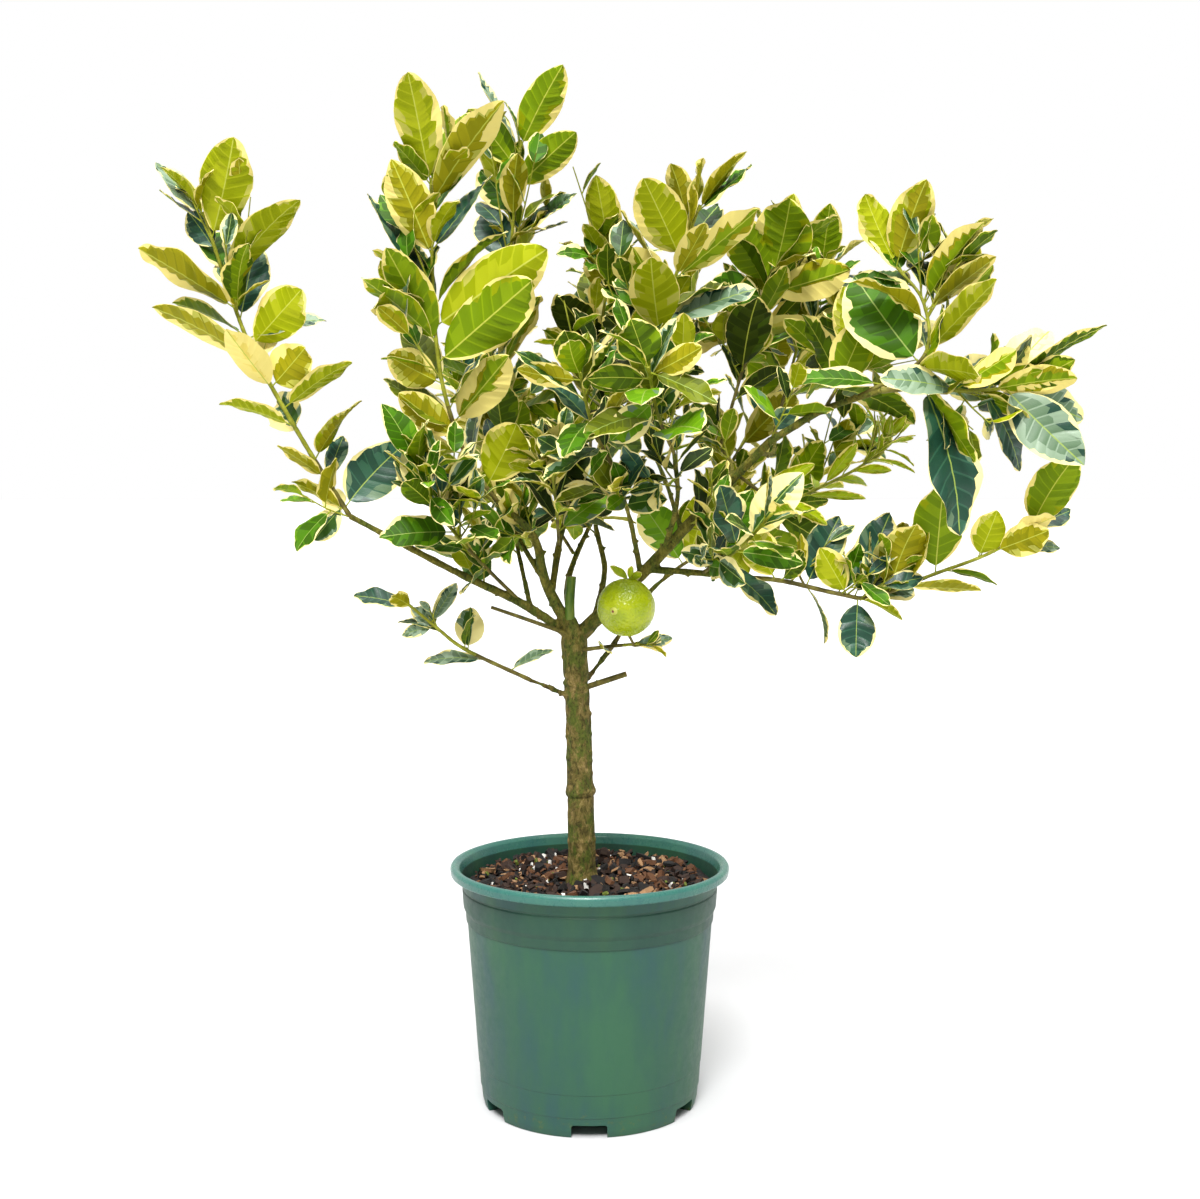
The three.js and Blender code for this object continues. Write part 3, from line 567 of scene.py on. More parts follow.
def add_node(material, kind, settings=(), **attributes):
    """Adds a node. A setting is (input, value), and a socket as its value is linked."""
    tree = material.node_tree
    node = tree.nodes.new("ShaderNode" + kind)
    for key, value in attributes.items():
        setattr(node, key, value)
    for name, value in dict(settings).items():
        if isinstance(value, bpy.types.NodeSocket):
            tree.links.new(value, node.inputs[name])
        else:
            node.inputs[name].default_value = value
    return node


def new_finish(name):
    material = bpy.data.materials.new(name)
    material.use_nodes = True
    material.node_tree.nodes.clear()
    return material


def finish_with(material, settings):
    shader = add_node(material, "BsdfPrincipled", settings)
    output = add_node(material, "OutputMaterial")
    material.node_tree.links.new(shader.outputs["BSDF"], output.inputs["Surface"])
    return material


def colour_ramp(material, factor, stops):
    ramp = add_node(material, "ValToRGB", {"Fac": factor})
    elements = ramp.color_ramp.elements
    while len(elements) < len(stops):
        elements.new(0.5)
    for element, (place, colour) in zip(elements, stops):
        element.position = place
        element.color = linear(colour)
    return ramp.outputs["Color"]


def blended(material, share, first, second):
    """The colour that goes from the first to the second as the share goes from 0 to 1."""
    mix = add_node(material, "Mix", data_type="RGBA")
    for socket, colour in ((mix.inputs[0], share), (mix.inputs[6], first),
                           (mix.inputs[7], second)):
        material.node_tree.links.new(colour, socket)
    return mix.outputs[2]


def per_metre(spacing_mm):
    """The texture scale that repeats a pattern about every so many millimetres."""
    return 1000 / spacing_mm


def leaf_finish(name, colour, roughness, shine):
    """Living leaf: a waxy cuticle over a plain tissue colour, so it is satin to glossy with
    fine cells under the gloss. The cells are drawn coarse, about 1.4 mm, to show."""
    material = new_finish(name)
    place = add_node(material, "TexCoord").outputs["Object"]
    cells = add_node(material, "TexNoise", {"Vector": place, "Scale": per_metre(1.4),
                                            "Detail": 3, "Roughness": 0.6})
    gloss = add_node(material, "MapRange", {"Value": cells.outputs["Fac"], "From Min": 0.3,
                                            "From Max": 0.7, "To Min": roughness - 0.07,
                                            "To Max": roughness + 0.09})
    bump = add_node(material, "Bump", {"Strength": 0.35, "Distance": 0.0004,
                                       "Height": cells.outputs["Fac"]})
    return finish_with(material, {
        "Base Color": linear(colour), "Roughness": gloss.outputs["Result"], "IOR": 1.45,
        "Specular IOR Level": shine, "Normal": bump.outputs["Normal"]})


LEAF_FINISHES = [
    # Upper faces: a glossy cuticle over dark tissue. Each tone has a near one, for veins.
    ("leaf_top_blue", "#1D4231", 0.36, 0.45),
    ("leaf_top_blue_b", "#2E5942", 0.34, 0.50),
    ("leaf_top_deep", "#1F3D08", 0.42, 0.28),
    ("leaf_top_deep_b", "#2F5210", 0.42, 0.30),
    ("leaf_top_mid", "#355A02", 0.46, 0.16),
    ("leaf_top_mid_b", "#467506", 0.46, 0.16),
    ("leaf_top_fresh", "#5A8608", 0.46, 0.18),
    ("leaf_top_fresh_b", "#6E9812", 0.46, 0.18),
    ("leaf_top_olive", "#566206", 0.46, 0.16),
    ("leaf_top_olive_b", "#6E7A0C", 0.46, 0.18),
    # Painted shade: dark tones for the leaves deep inside the crown
    ("leaf_top_shade", "#1D2D06", 0.48, 0.14),
    ("leaf_top_shade_b", "#27390A", 0.48, 0.14),
    ("leaf_back_shade", "#2E3C05", 0.55, 0.10),
    ("leaf_back_shade_b", "#3B4A08", 0.55, 0.10),
    # The grey-green zone between the dark middle and the cream edge, in part painted sheen,
    # and its paler near tone, a painted reflection of the bright room
    ("leaf_top_sage", "#5C7757", 0.40, 0.45),
    ("leaf_top_sage_b", "#869C80", 0.38, 0.45),
    ("leaf_cream", "#F5E79C", 0.48, 0.20),
    ("leaf_cream_b", "#EEDC84", 0.48, 0.20),
    ("leaf_rib_top", "#8FA44C", 0.45, 0.30),
    # Undersides: matt and yellow-green, their own paler colour lightened further to paint the light
    # that comes through
    ("leaf_back_lime", "#909A02", 0.55, 0.12),
    ("leaf_back_lime_b", "#A3AA14", 0.55, 0.12),
    ("leaf_back_olive", "#99930F", 0.55, 0.12),
    ("leaf_back_olive_b", "#868408", 0.55, 0.12),
    ("leaf_back_green", "#6C8603", 0.52, 0.12),
    ("leaf_back_green_b", "#80980A", 0.52, 0.12),
    ("leaf_back_deep", "#465E02", 0.52, 0.14),
    ("leaf_back_deep_b", "#577304", 0.52, 0.14),
    ("leaf_back_pale", "#B8B64C", 0.55, 0.12),
    ("leaf_back_cream", "#F0DE80", 0.55, 0.16),
    ("leaf_back_cream_b", "#E6D166", 0.55, 0.16),
    ("leaf_rib_back", "#B9BE48", 0.50, 0.14),
    ("leaf_stalk", "#98A024", 0.48, 0.25),
    ("leaf_young", "#ABBE14", 0.45, 0.25),
    ("leaf_young_b", "#98AE10", 0.45, 0.25),
]
LEAF_SLOT = {row[0].removeprefix("leaf_"): i for i, row in enumerate(LEAF_FINISHES)}


# Leaves

# Each look gives three tones for both faces: the middle, the zone next to the cream, and
# the patches in that zone. Then where the cream begins as a share of the half width, how
# ragged that line is, how much it differs from side to side, and the look's share of leaves.
LEAF_LOOKS = {
    "L": dict(tops=("top_deep", "top_deep_b", "top_sage"),
              backs=("back_lime", "back_lime", "back_pale"),
              cream=0.91, rag=0.13, uneven=0.10, share=0.17),
    "G": dict(tops=("top_mid", "top_mid", "top_fresh"),
              backs=("back_green", "back_green", "back_lime"),
              cream=0.93, rag=0.10, uneven=0.08, share=0.16),
    "O": dict(tops=("top_deep", "top_sage", "top_sage_b"),
              backs=("back_olive", "back_olive", "back_pale"),
              cream=0.82, rag=0.20, uneven=0.14, share=0.13),
    "D": dict(tops=("top_mid", "top_mid", "top_mid_b"),
              backs=("back_deep", "back_deep", "back_green"),
              cream=0.89, rag=0.17, uneven=0.12, share=0.14),
    # B: dark blue-green glossy tops; their sage patches between the veins are painted sheen
    "B": dict(tops=("top_blue", "top_blue", "top_sage"),
              backs=("back_green", "back_deep", "back_olive"),
              cream=0.94, rag=0.09, uneven=0.08, share=0.12),
    # S: pale sage tops, partly the leaf's own grey-green and partly a painted reflection of the
    # bright room
    "S": dict(tops=("top_sage", "top_sage_b", "top_blue"),
              backs=("back_olive", "back_lime", "back_pale"),
              cream=0.89, rag=0.14, uneven=0.10, share=0.06),
    "F": dict(tops=("top_deep_b", "top_sage", "cream_b"),
              backs=("back_green", "back_olive", "back_pale"),
              cream=0.52, rag=0.26, uneven=0.30, share=0.08),
    "H": dict(tops=("top_fresh", "top_fresh", "top_sage"),
              backs=("back_lime", "back_green", "back_pale"),
              cream=0.90, rag=0.13, uneven=0.10, share=0.04),
    "K": dict(tops=("top_olive", "top_olive", "top_olive_b"),
              backs=("back_deep", "back_deep", "back_green"),
              cream=0.95, rag=0.06, uneven=0.05, share=0.07),
    # N: dark tones for leaves deep in the crown, painted shade
    "N": dict(tops=("top_shade", "top_shade", "top_shade_b"),
              backs=("back_shade", "back_shade", "back_deep"),
              cream=0.95, rag=0.09, uneven=0.05, share=0.0),
    "C": dict(tops=("cream", "cream", "cream_b"),
              backs=("back_cream", "back_cream", "back_cream_b"),
              cream=0.4, rag=0.1, uneven=0.0, share=0.03),
}
LOOK_SHARES = [look["share"] for look in LEAF_LOOKS.values()]
YOUNG_LOOK = dict(tops=("young", "young", "young_b"), backs=("young", "back_lime", "young_b"),
                  cream=0.86, rag=0.1, uneven=0.0)

# Share of a leaf's panels that have the near tone in the middle or a patch further out
ODD_SHARE = 0.3

# Corners across the upper skin of a blade, and those that the under skin adds
COLUMNS = 8
UNDER = COLUMNS - 2
# In mm: the longest stalk, and how thick a blade is beside its midrib and at it. A stalk is
# also no more than a share of its leaf.
STALK_MOST = 9.0
STALK_SHARE = 0.12
BLADE_THICK = 0.42
RIB_THICK = 0.95


def outline_share(q, broadest, point):
    """Half width of a blade at q along it, as a share of the greatest."""
    low = (1 - (1 - np.clip(q / broadest, 0, 1)) ** 2.0) ** 0.62
    high = (1 - np.clip((q - broadest) / (1 - broadest), 0, 1) ** 1.9) ** point
    return np.where(q < broadest, low, high)


def cream_line(veins, start, rag, rng):
    """Where the cream begins on one side of the blade, as a share of the half width, for the
    three lines of each panel: it wanders, jumps from panel to panel and is notched at veins."""
    start += rng.normal(0, 0.035)
    wander = np.cumsum(rng.normal(0, 0.5 * rag, veins))
    wander -= wander.mean()
    panel = start + wander + rng.uniform(-1, 1, veins) * rag
    panel -= 0.25 * np.clip((np.linspace(0, 1, veins) - 0.75) / 0.25, 0, 1)
    notch = 0.7 * rag * rng.uniform(0.2, 1, veins)
    lines = np.stack([panel - notch, panel - 0.5 * notch, panel], axis=1)
    return np.clip(np.append(lines.ravel(), panel[-1]), 0.16, 0.965)


def add_leaf(parts, leaf, look, veins, rng):
    """One blade of two skins: a raised midrib, side veins as thin strips sunk between bulging
    panels, a ragged cream edge as its own faces, and the stalk."""
    root, along, up = leaf["root"], leaf["along"], leaf["up"]
    length, width = leaf["length"], leaf["width"]
    side = np.cross(up, along)
    stalk = min(STALK_MOST, STALK_SHARE * length)
    broadest = rng.uniform(0.44, 0.6)
    point = rng.uniform(0.62, 0.86)
    fold = leaf["fold"] + rng.uniform(0.02, 0.3)
    quilt = 0.018 * length * rng.uniform(0.6, 1.2)
    wave = rng.uniform(0.01, 0.08) * width
    wave_turn = rng.uniform(0, FULL_TURN)
    twist = rng.normal(0, 0.22)
    hook = rng.normal(0, 0.05)
    curl = rng.uniform(-0.06, 0.18)

    rows = 3 * veins
    panels = np.arange(veins)[:, None]
    q = np.append(((panels + (0, 0.14, 0.57)) / veins).ravel(), 1.0)
    half_here = np.maximum(width / 2 * outline_share(q, broadest, point), 0.5)
    rib = np.minimum(0.0058 * length / half_here, 0.4)
    shares = np.zeros((rows + 1, COLUMNS))
    uneven = look["uneven"] * rng.choice((-1, 1)) * rng.uniform(0.5, 1.2)
    for sign, order in ((-1, (0, 1, 2, 3)), (1, (7, 6, 5, 4))):
        outer = cream_line(veins, look["cream"] + sign * uneven, look["rag"], rng)
        inset = np.repeat(rng.uniform(0.42, 0.86, veins), 3)
        inner = outer * np.append(inset, inset[-1])
        inner = np.maximum(inner, rib + 0.03)
        outer = np.maximum(outer, inner + 0.02)
        for column, share in zip(order, (np.ones(rows + 1), outer, inner, rib)):
            shares[:, column] = sign * share
    v = np.abs(shares)
    slanted = q[:, None] + 0.16 * v ** 1.2 * np.sin(math.pi * q)[:, None]
    slanted = np.clip(slanted, 0, 1)
    half = width / 2 * outline_share(slanted, broadest, point)
    half = np.maximum(half, np.where(q[:, None] < 0.5, 0.9, 0.12))
    teeth = 1 - 0.035 * rng.uniform(0, 1, (rows + 1, 1)) * (v > 0.99)
    y = shares * half * teeth
    x = stalk + (length - stalk) * slanted
    u = x / length
    relief = np.append(np.tile((-0.7, -0.7, 1.0), veins), -0.7)[:, None]
    z = fold * np.abs(y) - 0.45 * fold * np.abs(y) * v
    z += quilt * relief * (np.sin(math.pi * np.clip(v, 0, 1) ** 0.8)
                           * np.sin(math.pi * q)[:, None] ** 0.6)
    z += wave * np.sin(FULL_TURN * 2.2 * q[:, None] + wave_turn + shares) * v ** 2
    z -= 0.25 * np.isin(np.arange(COLUMNS), (3, 4)) * np.sin(math.pi * q)[:, None]
    angle = twist * (u - 0.3)
    y, z = y * np.cos(angle) - z * np.sin(angle), y * np.sin(angle) + z * np.cos(angle)
    drop = leaf["arch"] * length * u ** 2 + curl * length * u ** 3
    bend = hook * length * u ** 2
    slope = 2 * leaf["arch"] * u

    def spot(y, z):
        return (root + x[..., None] * along + (y + bend)[..., None] * side
                + (z - drop)[..., None] * up + (z * slope)[..., None] * along)

    top = spot(y, z)
    thick = np.full((rows + 1, COLUMNS), BLADE_THICK)
    thick[:, 3:5] = RIB_THICK
    under = spot(y, z - thick)[:, 1:-1]
    points = np.concatenate([top, under], axis=1).reshape(-1, 3)
    stride = COLUMNS + UNDER

    def top_id(i, j):
        return i * stride + j

    def under_id(i, j):
        inside = i * stride + COLUMNS + j - 1
        return np.where((j == 0) | (j == COLUMNS - 1), top_id(i, j), inside)

    i, j = np.meshgrid(np.arange(rows), np.arange(COLUMNS - 1), indexing="ij")
    upper = np.stack([top_id(i, j), top_id(i + 1, j), top_id(i + 1, j + 1), top_id(i, j + 1)],
                     axis=-1).reshape(-1, 4)
    lower = np.stack([under_id(i, j), under_id(i, j + 1), under_id(i + 1, j + 1),
                      under_id(i + 1, j)], axis=-1).reshape(-1, 4)
    odd = rng.uniform(0, 1, (veins, 4)) < ODD_SHARE
    cap = np.concatenate([np.arange(COLUMNS), stride - 1 - np.arange(UNDER)])
    parts.add(points, [upper, lower, cap, rows * stride + cap[::-1]],
              [blade_slots(look["tops"], "cream", "rib_top", odd),
               blade_slots(look["backs"], "back_cream", "rib_back", odd),
               LEAF_SLOT["back_cream"], LEAF_SLOT["cream"]])

    shares = np.array((-0.8 / length, 0.5 * stalk / length, 1.06 * stalk / length))
    line = (root + np.outer(shares * length, along)
            - np.outer(leaf["arch"] * length * shares ** 2 + 0.4, up))
    corners, walls, start, end = tube(line, (0.85, 0.8, 0.7), 5)
    parts.add(corners, [walls, start, end], [LEAF_SLOT["stalk"]] * 3)


# The inside of the crown, where half the leaves take dark tones as painted shade: its
# middle, how far it reaches along each axis, and their share
CROWN_HEART = np.array((75, 0, 735))
HEART_REACH = np.array((205, 110, 145))
PAINTED_SHADE_SHARE = 0.5


def any_look(leaf, rng):
    """A look dealt by its share, or the dark look that paints shade on a leaf in the heart of the
    crown.
    """
    look = LEAF_LOOKS[rng.choice(list(LEAF_LOOKS), p=LOOK_SHARES)]
    middle = leaf["root"] + 0.5 * leaf["length"] * leaf["along"]
    depth = np.linalg.norm((middle - CROWN_HEART) / HEART_REACH)
    # A share of the leaves in the heart take the dark look, painted shade
    old = rng.uniform() < PAINTED_SHADE_SHARE
    return LEAF_LOOKS["N"] if old and depth < 1 else look


def blade_slots(tones, rim, rib, odd):
    """The finish of every face of one skin, row by row. odd tells the panels that take the
    near tone or the patch, for the outer and inner zones of both sides."""
    middle, outer, patch = tones
    zones = [rim, outer, middle, rib, middle, outer, rim]
    slots = np.empty((len(odd), 3, COLUMNS - 1), int)
    slots[:] = [LEAF_SLOT[name] for name in zones]
    for zone, place in enumerate((1, 2, 4, 5)):
        near_tone = LEAF_SLOT.get(zones[place] + "_b", LEAF_SLOT[zones[place]])
        slots[:, 0, place] = near_tone
        slots[odd[:, zone], 1:, place] = LEAF_SLOT[patch] if place in (1, 5) else near_tone
    return slots.reshape(-1)


# Side twigs: their length and leaves against the shoot's blade, and their width in mm
SIDE_LENGTH = (0.6, 0.8)
SIDE_THICK = (2.2, 1.3)
SIDE_LEAVES = 5
SIDE_BLADE = 0.62
SIDE_PLACES = 7
# A side leaf is left out where its middle or tip stands further than this from its shoot's
# packed mass, in mm, so that the crown keeps the mass's outline and gaps. Outer shoots show
# against the sky and keep closer.
SIDE_ROOM = 38
OUTER_ROOM = 17
OUTER_SHOOTS = ("shoot_far_left", "shoot_tall", "shoot_tall_back", "shoot_right_end",
                "shoot_right_low", "shoot_right_top", "shoot_low_left", "shoot_lemon")
# Side twigs are tried one after the other, and one with fewer leaves left than this is
# dropped. The counts that shoots and boughs carry were set by eye from the renders.
SIDE_LEAST = 3
SIDE_TRIES = 90
SIDE_TWIGS_USUAL = 8
SIDE_TWIGS = dict(shoot_low_left=1, shoot_lemon=1, shoot_front_left=1, shoot_front_right=1,
                  shoot_crown_left=4, shoot_front_low=4, shoot_young=5, shoot_centre_low=5,
                  shoot_far_left=4, shoot_right_end=4, shoot_tall=5, shoot_back=6,
                  shoot_back_left=6, shoot_back_right=6, shoot_back_far=6, shoot_right_top=6)


# The photo's inner boughs are leafy too, on their upper part: how many twigs each carries,
# the share of the bough where they start, the usual blade in mm, and the height in mm that
# their leaves keep above, where sky shows under the crown
LEAFY_BOUGHS = {
    "leaves_left": dict(bough_left=3, bough_left_leader=4, bough_left_upright=3,
                        bough_left_back=2),
    "leaves_centre": dict(bough_centre=4, bough_behind=4, bough_front_left=4,
                          bough_crown_left=2),
    "leaves_right": dict(bough_right_main=4, bough_front_right=3, bough_crown_right=2,
                         bough_right_low=2),
}
LEAFY_FROM = 0.45
LEAFY_BLADE = 66
LEAFY_FLOOR = 588
LEAFY_FIRST_SEED = 5000


def side_twig(shoot, curve, seed):
    """A finer twig by the shoot's own rule: it stands where a leaf would, and it has a few
    smaller leaves."""
    draw = draws_from(seed)
    places = leaves_on(curve, SIDE_PLACES, shoot["blade"], draw)
    base = places[int(SIDE_PLACES * draw())]
    reach = shoot["blade"] * drawn(SIDE_LENGTH, draw)
    root, along = base["root"], base["along"]
    rise = np.array((0, 0, drawn((-0.1, 0.5), draw) * reach))
    route = [root, root + 0.5 * reach * along + 0.2 * rise, root + reach * along + rise]
    twig = Curve(route)
    return twig, leaves_on(twig, SIDE_LEAVES, SIDE_BLADE * shoot["blade"], draw)


def near_mass(leaf, surface, room):
    """Whether a leaf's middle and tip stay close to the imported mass."""
    for share in (0.55, 1):
        point = leaf["root"] + share * leaf["length"] * leaf["along"]
        if surface.find_nearest(Vector(point * MM))[3] > room * MM:
            return False
    return True


def side_twigs(name, shoot, curve):
    """The side twigs of one shoot, each with the leaves that keep to the shoot's space."""
    mass = bpy.data.objects[name].data
    surface = BVHTree.FromPolygons([vertex.co for vertex in mass.vertices],
                                   [face.vertices[:] for face in mass.polygons])
    room = OUTER_ROOM if name in OUTER_SHOOTS else SIDE_ROOM
    kept = []
    for number in range(SIDE_TRIES):
        if len(kept) == SIDE_TWIGS.get(name, SIDE_TWIGS_USUAL):
            break
        twig, leaves = side_twig(shoot, curve, SIDE_TRIES * shoot["seed"] + number)
        leaves = [leaf for leaf in leaves if near_mass(leaf, surface, room)]
        if len(leaves) >= SIDE_LEAST:
            kept.append((twig, leaves))
    return kept


def tip_height(leaf):
    """How high the tip of a leaf stands, in mm."""
    return (leaf["root"] + leaf["length"] * leaf["along"])[2]


def bough_twigs(region):
    """The leafy twigs that stand on the upper part of a region's own boughs."""
    kept = []
    for place, (name, most) in enumerate(LEAFY_BOUGHS.get(region, {}).items()):
        bough = Curve(BOUGHS[name][1])
        upper = Curve([bough.at(t) for t in np.linspace(LEAFY_FROM, 1, 4)])
        first = LEAFY_FIRST_SEED + SIDE_TRIES * place
        found = 0
        for seed in range(first, first + SIDE_TRIES):
            if found == most:
                break
            twig, leaves = side_twig(dict(blade=LEAFY_BLADE), upper, seed)
            leaves = [leaf for leaf in leaves if tip_height(leaf) > LEAFY_FLOOR]
            if len(leaves) >= SIDE_LEAST:
                kept.append((twig, leaves))
                found += 1
    return kept


REGIONS = {
    "leaves_left": ("shoot_far_left", "shoot_tall", "shoot_tall_back", "shoot_low_left",
                    "shoot_left_inner", "shoot_left_upright"),
    "leaves_centre": ("shoot_front_left", "shoot_front_right", "shoot_crown_left",
                      "shoot_centre", "shoot_crown_right", "shoot_centre_low",
                      "shoot_behind", "shoot_lemon"),
    "leaves_right": ("shoot_right_end", "shoot_right_low", "shoot_right_top", "shoot_young",
                     "shoot_front_low", "shoot_arm_back", "shoot_crown_far"),
    "leaves_back": ("shoot_low_back", "shoot_back", "shoot_back_left", "shoot_back_right",
                    "shoot_back_far"),
}


# A sprig of three unfolding leaves above the fruit: its route and, for each leaf, the
# place on it, the heading as seen from the front, the length, the width and the roll
SPRIG_ROUTE = [(55, -22, 573), (48, -40, 566), (41, -53, 568)]
SPRIG_LEAVES = [(0.98, 140, 25, 11, 40), (0.9, 40, 15, 9, 160), (0.97, 80, 17, 8, 150)]


def add_sprig(leaf_parts, twig_parts, rng):
    curve = Curve(SPRIG_ROUTE)
    add_twig(twig_parts, curve, [(0, 2.0), (1, 1.5)], 6, 2.0)
    for row in SPRIG_LEAVES:
        add_leaf(leaf_parts, shown_leaf(curve, *row), YOUNG_LOOK, 4, rng)


# How much of a shoot, from its base, has turned to brown wood
OLD_WOOD = dict(shoot_low_left=0.25, shoot_right_low=0.55, shoot_far_left=0.2,
                shoot_lemon=0.7, shoot_right_end=0.1)
OLD_WOOD_USUAL = 0.35


def add_twig(parts, curve, widths, sides=8, step=4.0, wood=0.0):
    """A green twig: round, uneven, brown for its first share."""
    points, radii = limb_line(curve, widths, step)
    wobble = 1 + 0.06 * np.sin(np.arange(len(radii)) * 2.1)
    corners, walls, start, end = tube(points, radii * wobble, sides)
    row = np.arange(len(walls)) // sides
    parts.add(corners, [walls, start, end], [np.where(row < wood * len(points), 1, 0), 0, 0])


def add_bud(parts, root, along, length, radius):
    """A bud or a short spine in a leaf's armpit."""
    points = [root, root + 0.5 * length * along, root + length * along]
    corners, walls, start, end = tube(points, (radius, 0.7 * radius, 0.12 * radius), 5)
    parts.add(corners, [walls, start, end], [0, 0, 0])


# Shoots of this month's growth: narrow, thin, lime-green leaves
YOUNG_SHOOTS = ("shoot_young",)
YOUNG_WIDTH = 0.5


def dress_leaf(parts, leaf, look, veins, young, rng):
    """Adds a leaf, narrow and lime green where its shoot is young."""
    if young:
        leaf["width"] *= YOUNG_WIDTH
        look = YOUNG_LOOK
    add_leaf(parts, leaf, look, veins, rng)


# A leaf longer than this many mm counts as long. Then the side veins on each half of a long
# leaf, of a shorter one and of a side twig's leaf.
LONG_LEAF = 75
LONG_VEINS = 9
SHORT_VEINS = 7
SIDE_VEINS = 4
# Corners round a side twig
SIDE_TWIG_SIDES = 6
# Buds and spines in the leaves' armpits, in mm: how long a bud is and how far it stands out
# of the stem, the share of leaves with a spine, and a spine's radius
BUD_LENGTH = 2.2
BUD_PROUD = 0.3
SPINE_SHARE = 0.4
SPINE_RADIUS = 0.9


def add_leafy_twigs(leaf_parts, twig_parts, grown, young, rng):
    """Side twigs, each with its leaves."""
    for twig, leaves in grown:
        add_twig(twig_parts, twig, [(0, SIDE_THICK[0]), (1, SIDE_THICK[1])], SIDE_TWIG_SIDES)
        for leaf in leaves:
            dress_leaf(leaf_parts, leaf, any_look(leaf, rng), SIDE_VEINS, young, rng)


def build_foliage():
    finishes = [leaf_finish(*row) for row in LEAF_FINISHES]
    twig_parts = Parts()
    for region, names in REGIONS.items():
        leaf_parts = Parts()
        for name in names:
            shoot = SHOOTS[name]
            curve = Curve(shoot["route"])
            rng = np.random.RandomState(shoot["seed"])
            add_twig(twig_parts, curve, [(0, shoot["thick"][0]), (1, shoot["thick"][1])],
                     wood=OLD_WOOD.get(name, OLD_WOOD_USUAL))
            shown = [shown_leaf(curve, *row) for row in shoot["shown"]]
            grown = leaves_on(curve, shoot["leaves"], shoot["blade"], draws_from(shoot["seed"]))
            young = name in YOUNG_SHOOTS
            for i, leaf in enumerate(shown + grown):
                look = any_look(leaf, rng)
                if i < len(shown):
                    look = LEAF_LOOKS[shoot["looks"][i]]
                veins = LONG_VEINS if leaf["length"] > LONG_LEAF else SHORT_VEINS
                dress_leaf(leaf_parts, leaf, look, veins, young, rng)
                knob = 0.5 * np.interp(0.5, (0, 1), shoot["thick"]) + BUD_PROUD
                add_bud(twig_parts, leaf["root"], leaf["along"], BUD_LENGTH, knob)
                if rng.uniform() < SPINE_SHARE:
                    spine = unit(leaf["along"] + 0.9 * curve.tangent(0.5))
                    add_bud(twig_parts, leaf["root"], spine, rng.uniform(3, 6.0), SPINE_RADIUS)
            grown = side_twigs(name, shoot, curve)
            add_leafy_twigs(leaf_parts, twig_parts, grown, young, rng)
        add_leafy_twigs(leaf_parts, twig_parts, bough_twigs(region), False, rng)
        if region == "leaves_centre":
            add_sprig(leaf_parts, twig_parts, rng)
        mesh = leaf_parts.mesh(region, finishes, sharp_angle=75)
        placed(mesh, region, "foliage", *names)
    twigs = twig_parts.mesh("green_twigs", [green_twig_finish(), old_twig_finish()], sharp_angle=60)
    placed(twigs, "green_twigs", "foliage")


# Wood

def twig_finish(name, shades, roughness):
    """Rind of a thin stem: a wax film over green or browned cells, satin, patchy, and with
    a fine grain that is drawn coarse, about 2 mm, to show."""
    material = new_finish(name)
    place = add_node(material, "TexCoord").outputs["Object"]
    patches = add_node(material, "TexNoise", {"Vector": place, "Scale": per_metre(16),
                                              "Detail": 4, "Roughness": 0.65})
    fine = add_node(material, "TexNoise", {"Vector": place, "Scale": per_metre(2),
                                           "Detail": 4})
    colour = colour_ramp(material, patches.outputs["Fac"],
                         list(zip((0.35, 0.5, 0.65), shades)))
    bump = add_node(material, "Bump", {"Strength": 0.5, "Distance": 0.0006,
                                       "Height": fine.outputs["Fac"]})
    return finish_with(material, {"Base Color": colour, "Roughness": roughness, "IOR": 1.45,
                                  "Specular IOR Level": 0.3,
                                  "Normal": bump.outputs["Normal"]})


def green_twig_finish():
    return twig_finish("green_twig_rind", ("#6B7018", "#87891F", "#A3A636"), 0.5)


def old_twig_finish():
    return twig_finish("browned_twig_rind", ("#45421A", "#665C26", "#7F7A32"), 0.65)


